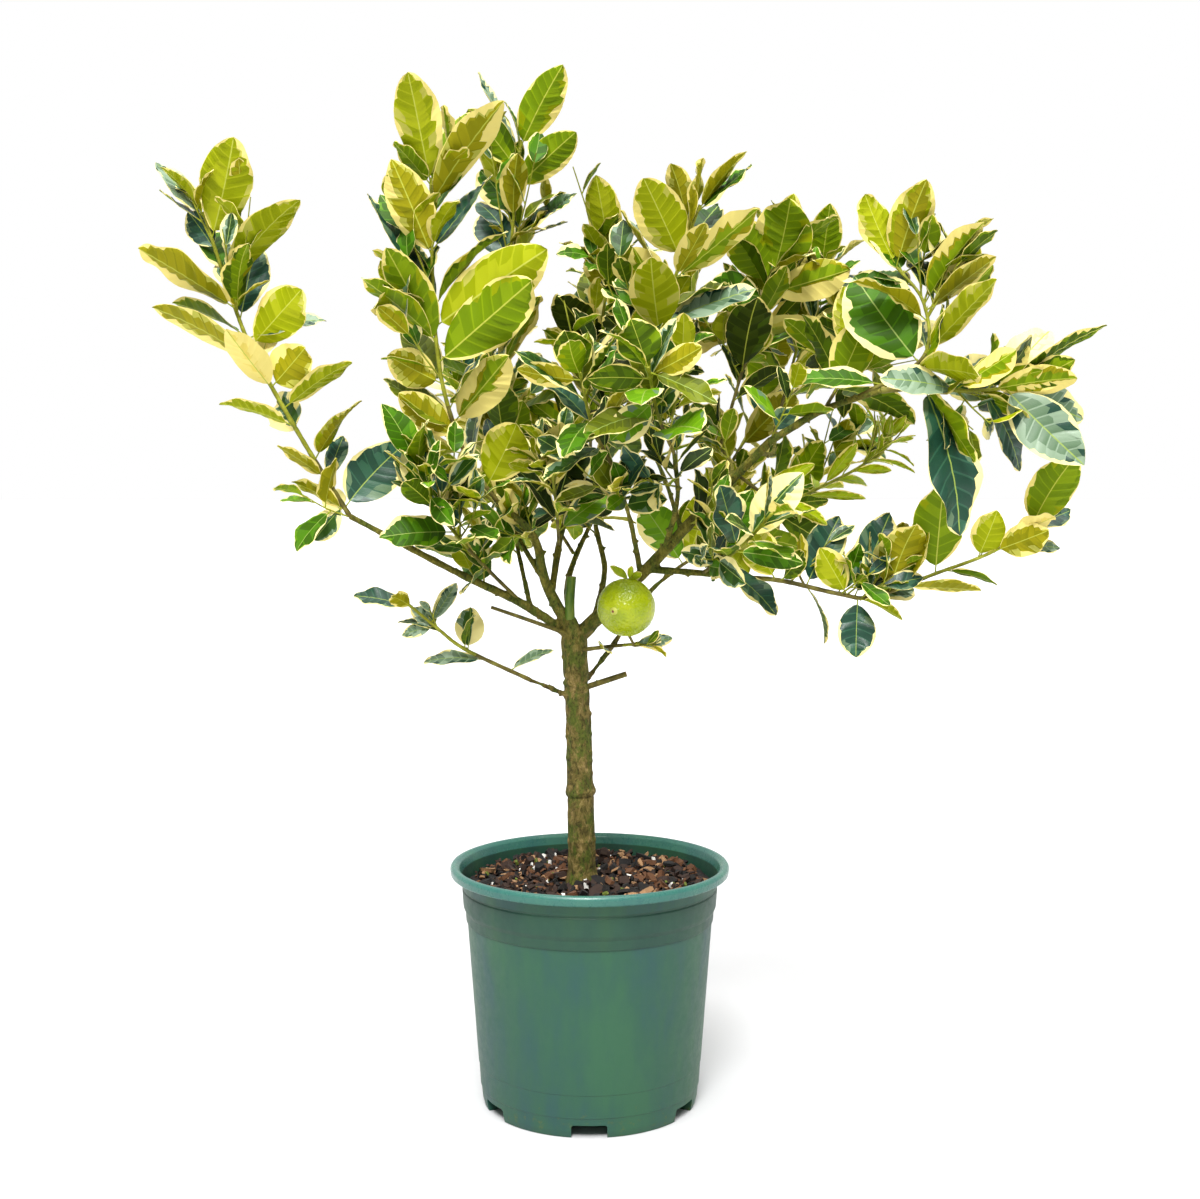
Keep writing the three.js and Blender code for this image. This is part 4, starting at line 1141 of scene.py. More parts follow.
def bark_finish():
    """Young citrus bark: smooth brown cork over green, with a green lichen film, dark fine
    cracks and rusty scars. The boughs are younger and more olive. Rough, with no gloss."""
    material = new_finish("citrus_bark")
    place = add_node(material, "TexCoord").outputs["Object"]
    height = add_node(material, "SeparateXYZ", {"Vector": place}).outputs["Z"]
    along = add_node(material, "Mapping", {"Vector": place, "Scale": (1, 1, 0.6)})
    line = along.outputs["Vector"]
    blotch = add_node(material, "TexNoise", {"Vector": line, "Scale": per_metre(8),
                                             "Detail": 6, "Roughness": 0.75,
                                             "Distortion": 0.6})
    lichen = add_node(material, "TexNoise", {"Vector": line, "Scale": per_metre(15),
                                             "Detail": 6, "Roughness": 0.75})
    crack = add_node(material, "TexNoise", {"Vector": line, "Scale": per_metre(2.4),
                                            "Detail": 5, "Roughness": 0.7})
    old = colour_ramp(material, blotch.outputs["Fac"],
                      [(0.36, "#332D10"), (0.45, "#574E22"), (0.54, "#766735"),
                       (0.64, "#9A8350")])
    young = colour_ramp(material, blotch.outputs["Fac"],
                        [(0.34, "#444214"), (0.5, "#6C6722"), (0.64, "#8A8136")])
    age = add_node(material, "MapRange", {"Value": height, "From Min": 0.46, "From Max": 0.56})
    wood = blended(material, age.outputs["Result"], old, young)
    film = colour_ramp(material, crack.outputs["Fac"], [(0.35, "#2D3B0B"), (0.65, "#5C6B22")])
    share = add_node(material, "MapRange", {"Value": lichen.outputs["Fac"], "From Min": 0.48,
                                            "From Max": 0.56, "To Max": 0.8})
    filmed = blended(material, share.outputs["Result"], wood, film)
    deep = add_node(material, "MapRange", {"Value": crack.outputs["Fac"], "From Min": 0.44,
                                           "From Max": 0.34, "To Max": 0.7})
    hollow = add_node(material, "RGB")
    hollow.outputs[0].default_value = linear("#241D0B")
    colour = blended(material, deep.outputs["Result"], filmed, hollow.outputs[0])
    bump = add_node(material, "Bump", {"Strength": 1.0, "Distance": 0.002,
                                       "Height": crack.outputs["Fac"]})
    return finish_with(material, {"Base Color": colour, "Roughness": 0.85, "IOR": 1.5,
                                  "Specular IOR Level": 0.25,
                                  "Normal": bump.outputs["Normal"]})


def add_limb(parts, route, widths, sides, step=3.0):
    points, radii = limb_line(Curve(route), widths, step)
    corners, walls, start, end = tube(points, radii, sides)
    parts.add(corners, [walls, start, end], [0, 0, 0])


# Bark that has grown up round the foot of the upright stub
STUB_COLLAR = [(-17, 0, 500), (-19, -5, 513), (-20.5, -8.4, 525)]
# Rings round the trunk: height, how far it stands out or in, its half width, and its tilt.
# The first three are the old union, the next two the ridge left by a branch below the
# fork, and the rest faint rings of growth.
TRUNK_RINGS = [(336, 0.5, 3.0, 0.05), (331.5, -1.0, 1.3, 0.05), (325, 0.3, 4.0, 0.0),
               (452, 1.6, 2.2, -0.16), (456.5, -1.0, 1.6, -0.16), (398, 0.8, 2.0, 0.1),
               (372, 0.7, 2.0, -0.1), (284, 0.7, 3.0, 0.1)]
TRUNK_SCARS = 46
TRUNK_SCAR_RADIUS = 13.6
SPUR_SPACING = 17
# The size of the cells that the limbs are grown together with
BARK_CELL = 1.15
# Rings are pressed into skin this near the trunk's middle, and tilt about a line beside it
TRUNK_MIDDLE = -11
TRUNK_REACH = 24
RING_PIVOT = -12
# Relief is stretched along the wood by one over this. It stands out in full up to a height
# and fades above it, at a rate that would end it after RELIEF_FADE mm, but the boughs keep
# a share.
GRAIN_STRETCH = 0.22
RELIEF_FULL = 480
RELIEF_FADE = 80
BOUGH_RELIEF = 0.35


def build_bark():
    """Trunk and boughs grown into one skin, then given knobs, leaf scars and cracks."""
    parts = Parts()
    add_limb(parts, TRUNK_ROUTE, TRUNK_WIDTHS, 40, 2.0)
    rng = np.random.RandomState(8)
    trunk = Curve(TRUNK_ROUTE)
    for i in range(TRUNK_SCARS):
        t = 0.08 + 0.88 * (i + 0.7 * rng.uniform()) / TRUNK_SCARS
        add_scar(parts, trunk, t, TRUNK_SCAR_RADIUS, LEAF_TURN * i + 0.4, rng.uniform(2.2, 4.4))
    for thick, route in BOUGHS.values():
        curve = Curve(route)
        add_limb(parts, route, [(0, thick[0]), (1, thick[1])], 16)
        count = int(np.linalg.norm(np.diff(route, axis=0), axis=1).sum() / SPUR_SPACING)
        for i in range(count):
            t = 0.2 + 0.76 * (i + 0.6 * rng.uniform()) / count
            radius = (thick[0] + (thick[1] - thick[0]) * t) / 2
            add_scar(parts, curve, t, radius, LEAF_TURN * i + rng.uniform(0, 1),
                     rng.uniform(1.4, 2.4), reach=rng.uniform(0.8, 2.2))
    add_limb(parts, STUB_COLLAR, [(0, 27), (0.5, 19), (0.9, 13), (1, 11)], 20)
    bark = bench(parts.mesh("bark_blank", []))
    remesh = bark.modifiers.new("grow together", "REMESH")
    remesh.mode = "VOXEL"
    remesh.voxel_size = BARK_CELL * MM
    smooth = bark.modifiers.new("soften", "SMOOTH")
    smooth.iterations = 3
    apply_modifiers(bark)
    mesh = bark.data
    points = read_rows(mesh.vertices, "co") / MM
    normals = read_rows(mesh.vertices, "normal")
    stretched = points * (1, 1, GRAIN_STRETCH)
    relief = (0.85 * lattice_noise(stretched, 5.0, 3) + 0.5 * lattice_noise(stretched, 2.6, 4)
              + 0.8 * lattice_noise(points, 13, 5))
    for height, lift, reach, tilt in TRUNK_RINGS:
        off = points[:, 2] - height - tilt * (points[:, 0] - RING_PIVOT)
        on_trunk = np.hypot(points[:, 0] - TRUNK_MIDDLE, points[:, 1]) < TRUNK_REACH
        relief += on_trunk * lift * np.exp(-(off / reach) ** 2)
    fade = (RELIEF_FULL + RELIEF_FADE - points[:, 2]) / RELIEF_FADE
    fade = np.clip(fade, BOUGH_RELIEF, 1)
    points += normals * (relief * fade)[:, None]
    mesh.vertices.foreach_set("co", (points * MM).ravel())
    shade_smooth(mesh)
    mesh.update()
    mesh.materials.clear()
    mesh.materials.append(bark_finish())
    bpy.data.objects.remove(bark)
    mesh.name = "bark"
    placed(mesh, "bark", "bark", "trunk", *BOUGHS)


def add_scar(parts, curve, t, radius, turn, size, reach=0.9):
    """The knob that a shed leaf leaves, a squat bump with its lip upward, or a dead spur
    where it reaches out further."""
    tangent = curve.tangent(t)
    side = unit(np.cross(tangent, (0.31, 0.95, 0.1)))
    outward = turned(side, tangent, turn)
    seat = curve.at(t) + outward * (radius - 0.45 * size)
    tip = seat + (outward * reach + tangent * 0.4 * reach) * size
    corners, walls, start, end = tube([seat, (seat + tip) / 2, tip],
                                      (size, size * 0.85, size * 0.3), 8)
    parts.add(corners, [walls, start, end], [0, 0, 0])


def stub_finish():
    """A shoot cut back while green: smooth green rind."""
    material = new_finish("green_rind")
    place = add_node(material, "TexCoord").outputs["Object"]
    along = add_node(material, "Mapping", {"Vector": place, "Scale": (1, 1, 0.3)})
    streak = add_node(material, "TexNoise", {"Vector": along.outputs["Vector"],
                                             "Scale": per_metre(6), "Detail": 4})
    colour = colour_ramp(material, streak.outputs["Fac"],
                         [(0.35, "#2F4A08"), (0.5, "#47660C"), (0.68, "#67781C")])
    bump = add_node(material, "Bump", {"Strength": 0.4, "Distance": 0.0006,
                                       "Height": streak.outputs["Fac"]})
    return finish_with(material, {"Base Color": colour, "Roughness": 0.5, "IOR": 1.45,
                                  "Normal": bump.outputs["Normal"]})


def cut_wood_finish():
    """The dried face of a cut: pale brown and matt. Its fine grain is drawn coarse, about
    1.5 mm, to show."""
    material = new_finish("dried_cut_wood")
    place = add_node(material, "TexCoord").outputs["Object"]
    grain = add_node(material, "TexNoise", {"Vector": place, "Scale": per_metre(1.5),
                                            "Detail": 3})
    colour = colour_ramp(material, grain.outputs["Fac"], [(0.35, "#7A5A30"), (0.65, "#B8935A")])
    bump = add_node(material, "Bump", {"Strength": 0.5, "Distance": 0.0003,
                                       "Height": grain.outputs["Fac"]})
    return finish_with(material, {"Base Color": colour, "Roughness": 0.85,
                                  "Normal": bump.outputs["Normal"]})


def build_stubs():
    parts = Parts()
    for name, (thick, route) in STUBS.items():
        points, radii = limb_line(Curve(route), [(0, thick[0]), (1, thick[1])], 3)
        corners, walls, start, end = tube(points, radii, 16)
        rind = 0 if name == "cut_stub_upright" else 2
        parts.add(corners, [walls, start, end], [rind, rind, 1])
        curve = Curve(route)
        for i in range(3):
            t = 0.35 + 0.22 * i
            radius = (thick[0] + (thick[1] - thick[0]) * t) / 2
            if name != "cut_stub_upright":
                add_scar(parts, curve, t, radius, LEAF_TURN * i, radius * 0.45)
    finishes = [stub_finish(), cut_wood_finish(), old_twig_finish()]
    mesh = parts.mesh("cut_stubs", finishes, sharp_angle=50)
    placed(mesh, "cut_stubs", "bark", *STUBS)


# Fruit

# Fruits: centre, direction from the middle to the tip, radius, and the stalk's route. The
# second has only just set.
FRUITS = [
    ((38.0, -56, 540), (-0.42, -0.9, -0.05), 30.2,
     [(46, -50, 500.5), (43, -54, 507), (40, -56, 512.5)]),
    ((216.0, -26, 590), (-0.3, -0.5, 0.8), 8.5,
     [(222, -46, 564), (219, -34, 572), (217, -28, 583)]),
]
# Shape of a fruit, as shares of its radius: how long it is, then the nipple's tip, its
# foot and the dimple at the stalk, each with its height and how many radians it reaches
FRUIT_LENGTH = 0.96
NIPPLE_TIP = (0.1, 0.1)
NIPPLE_FOOT = (0.06, 0.35)
STALK_DIMPLE = (0.05, 0.2)


def rind_finish():
    """Unripe lemon rind: lime green and waxy, pitted by oil glands. They are drawn about
    2.4 mm apart, coarser than life, to show."""
    material = new_finish("lemon_rind")
    place = add_node(material, "TexCoord").outputs["Object"]
    glands = add_node(material, "TexVoronoi", {"Vector": place, "Scale": per_metre(2.4)},
                      feature="SMOOTH_F1")
    cloud = add_node(material, "TexNoise", {"Vector": place, "Scale": per_metre(30),
                                            "Detail": 3})
    colour = colour_ramp(material, cloud.outputs["Fac"],
                         [(0.32, "#84970A"), (0.5, "#9CAB0A"), (0.68, "#B2BB12")])
    bump = add_node(material, "Bump", {"Strength": 0.8, "Distance": 0.0012,
                                       "Height": glands.outputs["Distance"]})
    return finish_with(material, {"Base Color": colour, "Roughness": 0.27, "IOR": 1.45,
                                  "Normal": bump.outputs["Normal"]})


def plain_finish(name, colour, roughness, spacing_mm):
    """A small natural surface of one colour. Its grain is in relief, drawn coarse to show."""
    material = new_finish(name)
    place = add_node(material, "TexCoord").outputs["Object"]
    grain = add_node(material, "TexNoise", {"Vector": place, "Scale": per_metre(spacing_mm),
                                            "Detail": 4})
    gloss = add_node(material, "MapRange", {"Value": grain.outputs["Fac"],
                                            "To Min": roughness - 0.12,
                                            "To Max": roughness + 0.12})
    bump = add_node(material, "Bump", {"Strength": 0.6, "Distance": 0.0006,
                                       "Height": grain.outputs["Fac"]})
    return finish_with(material, {"Base Color": linear(colour),
                                  "Roughness": gloss.outputs["Result"],
                                  "Normal": bump.outputs["Normal"]})


def swelling(angle, size):
    """A rounded rise of a height and a reach, at an angle from its middle."""
    height, reach = size
    return height * np.exp(-(angle / reach) ** 2)


def add_fruit(parts, centre, axis, radius, route):
    """An unripe fruit: a slightly flattened ball with a drawn-out nipple, and its stalk."""
    centre, axis = np.array(centre), unit(np.array(axis))
    rings, sides = 90, 150
    side = unit(np.cross(axis, (0, 0, 1)))
    across = np.cross(axis, side)
    polar = np.concatenate([(0.02, 0.045, 0.07, 0.1, 0.135),
                            np.linspace(0.18, math.pi - 0.06, rings - 6)])
    turn = FULL_TURN * np.arange(sides) / sides
    nipple = swelling(polar, NIPPLE_TIP) + swelling(polar, NIPPLE_FOOT)
    dimple = -swelling(math.pi - polar, STALK_DIMPLE)
    across_reach = np.sin(polar) * (1 + dimple) * radius
    along_reach = (np.cos(polar) * (FRUIT_LENGTH + dimple) + nipple) * radius
    grid = (centre + along_reach[:, None, None] * axis
            + across_reach[:, None, None] * (np.cos(turn)[:, None] * side
                                             + np.sin(turn)[:, None] * across))
    grid = grid.reshape(-1, 3)
    # Broad lumps, and pits of two sizes
    lumps = radius * (0.014 * lattice_noise(grid, 0.36 * radius, 21)
                      - 0.02 * np.clip(lattice_noise(grid, 0.13 * radius, 22), 0, 1)
                      - 0.008 * np.clip(lattice_noise(grid, 0.08 * radius, 23), 0, 1))
    grid += unit_rows(grid - centre) * lumps[:, None]
    walls = ring_faces(rings - 1, sides)[:, ::-1]
    row = np.arange(len(walls)) // sides
    slots = np.where(row < 1, 1, np.where(row < 4, 3, 0))
    start = np.arange(sides)
    end = ((rings - 2) * sides + np.arange(sides))[::-1]
    parts.add(grid, [walls, start, end], [slots, 1, 0])
    points, radii = limb_line(Curve(route), [(0, 2.6), (0.7, 2.8), (1, 4.4)], 1.5)
    corners, walls, start, end = tube(points, radii, 10)
    parts.add(corners, [walls, start, end], [2, 2, 2])


def build_fruits():
    parts = Parts()
    for centre, axis, radius, route in FRUITS:
        add_fruit(parts, centre, axis, radius, route)
    # A dry rusty scar in a waxy pale collar at the tip, and a matt woody stalk
    finishes = [rind_finish(), plain_finish("nipple_scar", "#6E2A16", 0.7, 1.0),
                plain_finish("fruit_stalk", "#6A5F24", 0.7, 1.5),
                plain_finish("nipple_collar", "#B8BC4A", 0.5, 1.5)]
    mesh = parts.mesh("lemons", finishes, sharp_angle=70)
    placed(mesh, "lemons", "fruit_rind")


# Pot and planting

def pot_finish(name, shades, roughness):
    """Injection-moulded polypropylene, a year outdoors: satin, chalky in blotches, with
    faint vertical streaks and splashes of soil. It gives a soft broad sheen. The mould's
    fine grain is drawn coarse, about 1.2 mm, to show."""
    material = new_finish(name)
    place = add_node(material, "TexCoord").outputs["Object"]
    tall = add_node(material, "Mapping", {"Vector": place, "Scale": (1, 1, 0.3)})
    blotch = add_node(material, "TexNoise", {"Vector": tall.outputs["Vector"],
                                             "Scale": per_metre(42), "Detail": 5,
                                             "Roughness": 0.6})
    dust = add_node(material, "TexNoise", {"Vector": place, "Scale": per_metre(9),
                                           "Detail": 6, "Roughness": 0.75})
    grain = add_node(material, "TexNoise", {"Vector": place, "Scale": per_metre(1.2),
                                            "Detail": 3})
    base = colour_ramp(material, blotch.outputs["Fac"], list(zip((0.36, 0.5, 0.64), shades)))
    height = add_node(material, "SeparateXYZ", {"Vector": place}).outputs["Z"]
    low = add_node(material, "MapRange", {"Value": height, "From Min": 0.0, "From Max": 0.07,
                                          "To Min": 0.16, "To Max": 0.0})
    dirt = add_node(material, "Math", {0: dust.outputs["Fac"], 1: low.outputs["Result"]},
                    operation="ADD")
    splash = add_node(material, "MapRange", {"Value": dirt.outputs["Value"],
                                             "From Min": 0.70, "From Max": 0.80,
                                             "To Max": 0.6})
    soil = add_node(material, "RGB")
    soil.outputs[0].default_value = linear("#56602E")
    colour = blended(material, splash.outputs["Result"], base, soil.outputs[0])
    gloss = add_node(material, "MapRange", {"Value": dust.outputs["Fac"], "From Min": 0.3,
                                            "From Max": 0.7, "To Min": roughness - 0.08,
                                            "To Max": roughness + 0.1})
    bump = add_node(material, "Bump", {"Strength": 0.25, "Distance": 0.0003,
                                       "Height": grain.outputs["Fac"]})
    return finish_with(material, {"Base Color": colour, "Roughness": gloss.outputs["Result"],
                                  "IOR": 1.49, "Specular IOR Level": 0.4,
                                  "Normal": bump.outputs["Normal"]})


def turned_profile(parts, profile, sides, slot):
    """Turns an open profile (radius, height), from axis to axis, into a closed skin."""
    turn = FULL_TURN * np.arange(sides) / sides
    rows = [np.stack([r * np.cos(turn), r * np.sin(turn), np.full(sides, z)], axis=1)
            for r, z in profile]
    last = (len(profile) - 1) * sides
    parts.add(np.vstack(rows),
              [ring_faces(len(profile), sides), np.arange(sides)[::-1], last + np.arange(sides)],
              [slot, slot, slot])


def rounded(corners, radius, steps):
    """A profile with its inner corners rounded off."""
    points = [np.array(corners[0], float)]
    for before, here, after in zip(corners, corners[1:], corners[2:]):
        before, here, after = (np.array(p, float) for p in (before, here, after))
        reach = min(radius, 0.45 * np.linalg.norm(before - here),
                    0.45 * np.linalg.norm(after - here))
        a = here + unit(before - here) * reach
        b = here + unit(after - here) * reach
        for s in np.linspace(0, 1, steps + 1):
            points.append((1 - s) ** 2 * a + 2 * s * (1 - s) * here + s ** 2 * b)
    points.append(np.array(corners[-1], float))
    return points


def drain_cutter():
    """Six slots with rounded upper corners that run inward from the foot's edge."""
    parts = Parts()
    half, top, low, radius = DRAIN_WIDTH / 2, DRAIN_HEIGHT, -6.0, 3.5
    outline = rounded([(-half, low), (-half, top), (half, top), (half, low)], radius, 5)
    outline = np.array(outline)
    count = len(outline)
    for i in range(DRAINS):
        turn = FULL_TURN * i / DRAINS
        inward = np.array((math.sin(turn), -math.cos(turn), 0))
        across = np.array((math.cos(turn), math.sin(turn), 0))
        rows = [inward * reach + np.outer(outline[:, 0], across)
                + np.outer(outline[:, 1], (0, 0, 1))
                for reach in (BASE_RADIUS - DRAIN_DEPTH, BASE_RADIUS + 12)]
        parts.add(np.vstack(rows), [ring_faces(2, count)[:, ::-1], np.arange(count),
                                    count + np.arange(count)[::-1]], [0, 0, 0])
    return parts.mesh("drain_cutter", [])


def build_pot():
    rim_foot = POT_HEIGHT - LIP_HEIGHT
    parts = Parts()
    # From the axis out under the foot, up the outside, over the rim and down the inside
    body = [
        (2, 0), (BASE_RADIUS, 0), (116.2, 7), (BODY_FOOT - 0.2, 21), (BODY_FOOT + 0.55, 21.8),
        (119.9, 46), (120.5, 46.6), (BODY_TOP - 0.3, COLLAR_FOOT - 9),
        (BODY_TOP - 0.6, COLLAR_FOOT - 7.6), (BODY_TOP + 0.7, COLLAR_FOOT - 6.6),
        (COLLAR_RADIUS - 2.2, COLLAR_FOOT - 1), (COLLAR_RADIUS - 1.8, COLLAR_FOOT + 3),
        (COLLAR_RADIUS - 0.8, 234), (COLLAR_RADIUS - 1.9, 235.2), (COLLAR_RADIUS - 0.6, 236.8),
        (COLLAR_RADIUS + 0.4, rim_foot), (RIM_RADIUS - 2.6, rim_foot),
        (RIM_RADIUS - 0.7, rim_foot + 1.2), (RIM_RADIUS, POT_HEIGHT - 3.4),
        (RIM_RADIUS - 1.8, POT_HEIGHT - 0.4), (RIM_RADIUS - 4, POT_HEIGHT),
        (MOUTH_RADIUS + 1, POT_HEIGHT),
        (MOUTH_FOOT + 5, POT_HEIGHT - 3), (MOUTH_FOOT + 2.5, POT_HEIGHT - 11),
        (MOUTH_FOOT - 0.5, 228), (MOUTH_FOOT - 2, 200), (100, 200), (2, 200),
    ]
    turned_profile(parts, rounded(body, 1.1, 3), POT_SIDES, 0)
    pot = bench(parts.mesh("pot_blank", []))
    cutter = bench(drain_cutter())
    cut = pot.modifiers.new("drains", "BOOLEAN")
    cut.operation, cut.solver, cut.object = "DIFFERENCE", "EXACT", cutter
    apply_modifiers(pot)
    mesh = pot.data
    bpy.data.objects.remove(pot)
    bpy.data.objects.remove(cutter)
    mesh.name = "nursery_pot"
    shade_smooth(mesh)
    mesh.set_sharp_from_angle(angle=math.radians(40))
    mesh.materials.clear()
    # The body's tones; a lighter copy on the lip paints the highlight on the rim, and a darker copy
    # on the inner wall paints the shade inside the pot
    for finish in (pot_finish("moulded_green_polypropylene",
                              ("#254E48", "#285441", "#2C5A3F"), 0.48),
                   pot_finish("green_lip_painted_highlight", ("#33665F", "#386D61", "#3F7462"), 0.28),
                   pot_finish("shaded_green_inner_wall",
                              ("#1E4236", "#234938", "#274D35"), 0.5)):
        mesh.materials.append(finish)
    middles = read_rows(mesh.polygons, "center") / MM
    reach = np.hypot(middles[:, 0], middles[:, 1])
    on_lip = middles[:, 2] > rim_foot + 0.5
    inside = ((middles[:, 2] > FOOT_HEIGHT + 20) & (reach < MOUTH_RADIUS + 0.5)
              & ((reach < MOUTH_FOOT + 3) | (middles[:, 2] < rim_foot))
              & (middles[:, 2] > COLLAR_FOOT - 30) & (reach < MOUTH_RADIUS - 5.5))
    # The lip's faces take the painted highlight and the inner wall's faces the painted shade
    mesh.polygons.foreach_set("material_index", np.where(inside, 2, np.where(on_lip, 1, 0)))
    placed(mesh, "nursery_pot", "pot_plastic", "pot")


# Shredded bark, damp and matt, with white grains of perlite and crumbs of moss
CHIP_TONES = [("bark_chip_dark", "#0D0704"), ("bark_chip_brown", "#2E1A0E"),
              ("bark_chip_red", "#5E3A1E"), ("bark_chip_tan", "#A07A55"),
              ("perlite", "#EDEAE2"), ("moss_crumb", "#5F6B20")]
CHIP_SHARES = [0.30, 0.32, 0.20, 0.12, 0.03, 0.03]
# Slots from this one on are perlite and moss, which lie in small grains
FIRST_GRAIN = 4
GRAIN_SIZES = (3.5, 8.0)
CHIP_TRIES = 1500
# How far chips lie from the middle and how far their ends may reach, in mm, their lengths,
# the share of short ones, and how high they lie against the mix
CHIP_REACH = 129
CHIP_EDGE = 132
SHORT_CHIPS = (6, 15)
LONG_CHIPS = (15, 28)
SHORT_SHARE = 0.7
CHIP_LIFT = (-3.0, 6.0)
# The modelled surface of the mix reaches down to this height
BED_FOOT = 226.0
# Chips keep clear of the stem: its place at the soil and the clear radius
STEM_PLACE = -8
STEM_CLEARANCE = 17


def add_chip(parts, centre, size, rng, slot):
    """A broken chip: a flat lump of six ragged sides, lying at its own slant."""
    sides = 6
    turn = FULL_TURN * (np.arange(sides) + rng.uniform(-0.3, 0.3, sides)) / sides
    reach = rng.uniform(0.65, 1.0, sides) / 2
    ring = np.stack([np.cos(turn) * reach, np.sin(turn) * reach, np.zeros(sides)], axis=1)
    lift = rng.uniform(-0.25, 0.25, (sides, 1)) * (0, 0, 1)
    low = ring * rng.uniform(0.8, 1.0) + (0, 0, -0.5) + lift
    high = ring * rng.uniform(0.7, 1.0) + (0.06, 0.04, 0.5) + lift
    points = np.vstack([low, high]) * size
    for axis in (0, 1):
        slant = rng.normal(0, 0.6)
        c, s = math.cos(slant), math.sin(slant)
        first, height = points[:, axis].copy(), points[:, 2].copy()
        points[:, axis], points[:, 2] = c * first + s * height, c * height - s * first
    spin = rng.uniform(0, FULL_TURN)
    c, s = math.cos(spin), math.sin(spin)
    points = points @ np.array(((c, s, 0), (-s, c, 0), (0, 0, 1)))
    parts.add(points + centre, [ring_faces(2, sides), np.arange(sides)[::-1],
                                sides + np.arange(sides)], [slot] * 3)


def build_soil():
    """The surface of the mix: an uneven bed with loose bark chips and perlite on it."""
    rng = np.random.RandomState(31)
    parts = Parts()
    rings, sides = 46, 120
    radii = np.linspace(1, MOUTH_FOOT - 1.2, rings)
    turn = FULL_TURN * np.arange(sides) / sides
    bed = np.stack([np.outer(radii, np.cos(turn)), np.outer(radii, np.sin(turn)),
                    np.full((rings, sides), SOIL_TOP - 1.5)], axis=-1).reshape(-1, 3)
    flat = bed * (1, 1, 0)
    bed[:, 2] += 1.8 * lattice_noise(flat, 16, 41) + 1.4 * lattice_noise(flat, 6, 42)
    floor = np.stack([MOUTH_FOOT * 0.98 * np.cos(turn), MOUTH_FOOT * 0.98 * np.sin(turn),
                      np.full(sides, BED_FOOT)], axis=1)
    walls = ring_faces(rings + 1, sides)
    # The bed takes the first chip tone, near black: the damp mix's own dark colour, deepened as
    # painted shade in the gaps between the chips
    parts.add(np.vstack([bed, floor]), [walls, np.arange(sides), rings * sides
                                        + np.arange(sides)[::-1]], [0, 0, 0])
    for _ in range(CHIP_TRIES):
        reach = CHIP_REACH * math.sqrt(rng.uniform())
        angle = rng.uniform(0, FULL_TURN)
        slot = rng.choice(len(CHIP_TONES), p=CHIP_SHARES)
        lengths = SHORT_CHIPS if rng.uniform() < SHORT_SHARE else LONG_CHIPS
        longest = rng.uniform(*lengths)
        size = longest * np.array((1, rng.uniform(0.3, 0.65), rng.uniform(0.12, 0.26)))
        if slot >= FIRST_GRAIN:
            size = rng.uniform(*GRAIN_SIZES) * np.array((1, 0.8, 0.7))
        reach = min(reach, CHIP_EDGE - 0.6 * size[0])
        x, y = reach * math.cos(angle), reach * math.sin(angle)
        if math.hypot(x - STEM_PLACE, y) < STEM_CLEARANCE:
            continue
        z = SOIL_TOP + rng.uniform(*CHIP_LIFT)
        add_chip(parts, np.array((x, y, z)), size, rng, slot)
    finishes = [plain_finish(name, colour, 0.78, 1.6) for name, colour in CHIP_TONES]
    mesh = parts.mesh("bark_mix", finishes, sharp_angle=30)
    placed(mesh, "bark_mix", "potting_bark", "potting_mix")


# Studio

# The camera: its place in metres, how far it looks down in radians, its lens and its sensor's
# width in mm. Then how far the floor reaches, in metres.
CAMERA_PLACE = (0.011, -1.8, 0.688)
CAMERA_DROP = 0.080
CAMERA_LENS = 50.9
SENSOR_WIDTH = 36.0
FLOOR_REACH = 30.0


def add_sun(name, strength, width_degrees, direction):
    """A distant soft lamp, as wide in the sky as the angle says."""
    sun = bpy.data.lights.new(name, "SUN")
    sun.energy = strength
    sun.angle = math.radians(width_degrees)
    lamp = bpy.data.objects.new(name, sun)
    lamp.rotation_euler = Vector(direction).to_track_quat("-Z", "Y").to_euler()
    bpy.context.scene.collection.objects.link(lamp)


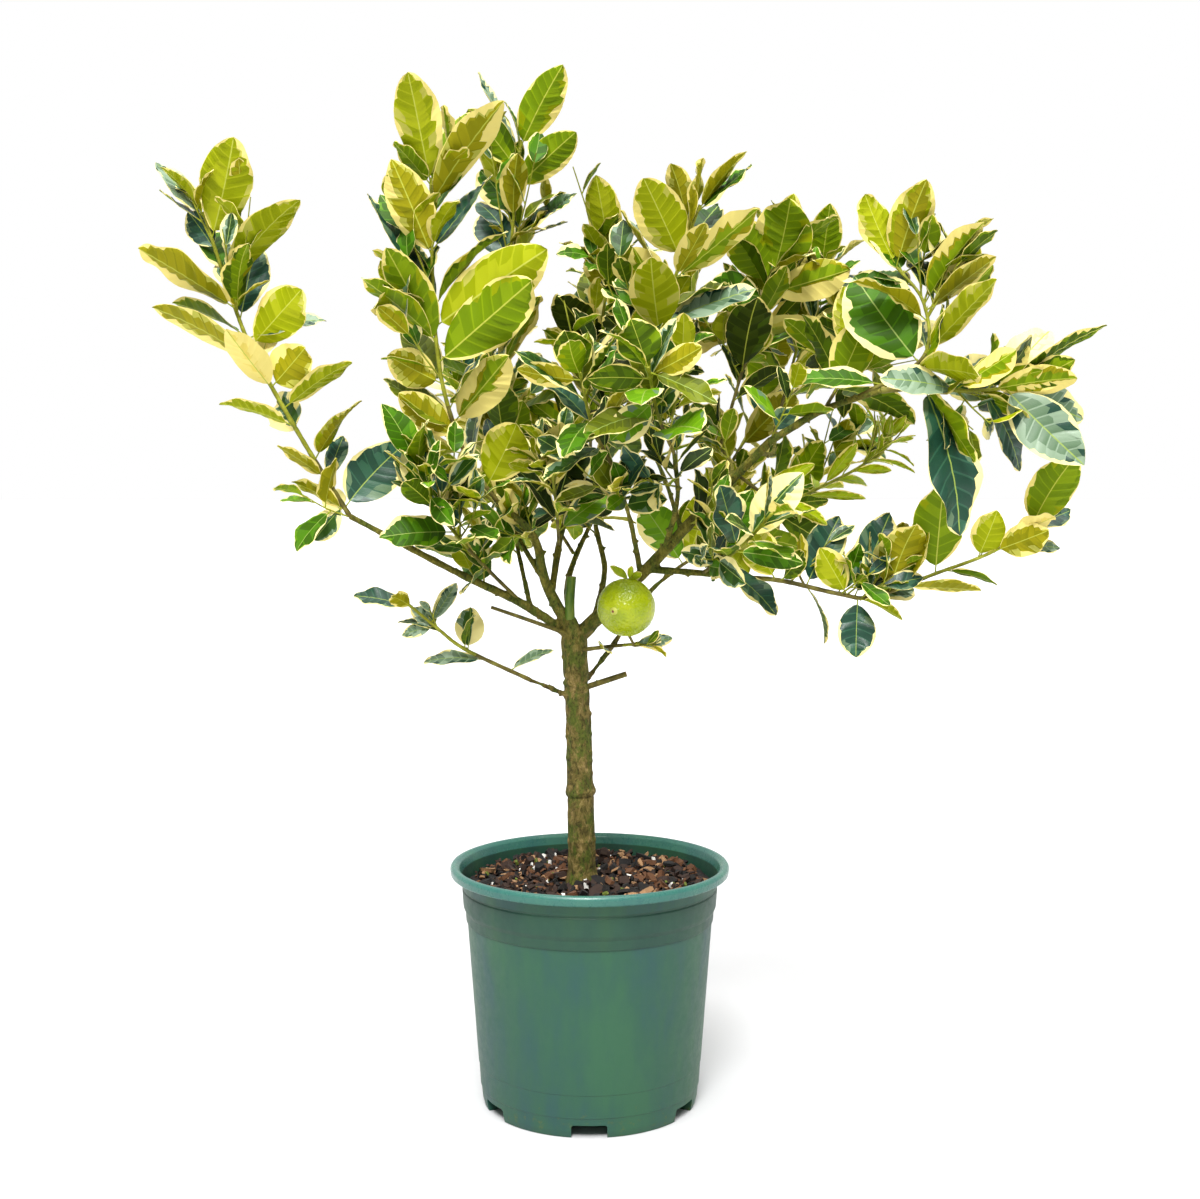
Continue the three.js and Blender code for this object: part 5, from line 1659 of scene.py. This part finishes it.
def build_studio():
    scene = bpy.context.scene
    world = bpy.data.worlds.new("studio")
    scene.world = world
    world.use_nodes = True
    place = add_node(world, "TexCoord").outputs["Generated"]
    axes = add_node(world, "SeparateXYZ", {"Vector": place})
    # A bright wall behind the plant, and a dimmer room in front of it
    wall = add_node(world, "MapRange", {"Value": axes.outputs["Y"], "From Min": -0.1,
                                        "From Max": 0.5, "To Min": 0.3, "To Max": 0.9})
    # Seen directly, the backdrop is plain white all round
    seen = add_node(world, "LightPath").outputs["Is Camera Ray"]
    level = add_node(world, "Math", {0: wall.outputs["Result"], 1: seen}, operation="MAXIMUM")
    background = world.node_tree.nodes["Background"]
    background.inputs["Color"].default_value = (1.0, 1.0, 1.0, 1.0)
    world.node_tree.links.new(level.outputs["Value"], background.inputs["Strength"])
    add_sun("window_light", 4.3, 66, (0.0, 0.24, -1.0))
    add_sun("key_light", 2.7, 18, (0.1, 0.8, -1.0))
    floor = bpy.data.meshes.new("floor")
    corners = [(-1, -1), (1, -1), (1, 1), (-1, 1)]
    floor.from_pydata([(x * FLOOR_REACH, y * FLOOR_REACH, 0) for x, y in corners], [],
                      [(0, 1, 2, 3)])
    material = new_finish("pale_floor")
    place = add_node(material, "TexCoord").outputs["Object"]
    haze = add_node(material, "TexNoise", {"Vector": place, "Scale": 0.5})
    gloss = add_node(material, "MapRange", {"Value": haze.outputs["Fac"], "To Min": 0.85,
                                            "To Max": 0.95})
    finish_with(material, {"Base Color": (0.60, 0.60, 0.605, 1), "Specular IOR Level": 0.1,
                           "Roughness": gloss.outputs["Result"]})
    floor.materials.append(material)
    ground = bpy.data.objects.new("floor", floor)
    scene.collection.objects.link(ground)

    camera = bpy.data.cameras.new("camera")
    camera.sensor_fit = "HORIZONTAL"
    camera.sensor_width = SENSOR_WIDTH
    camera.lens = CAMERA_LENS
    viewer = bpy.data.objects.new("camera", camera)
    viewer.location = CAMERA_PLACE
    viewer.rotation_euler = (math.radians(90) - CAMERA_DROP, 0, 0)
    scene.collection.objects.link(viewer)
    scene.camera = viewer
    scene.view_settings.view_transform = "Standard"


build_studio()
build_pot()
build_soil()
build_bark()
build_stubs()
build_fruits()
build_foliage()
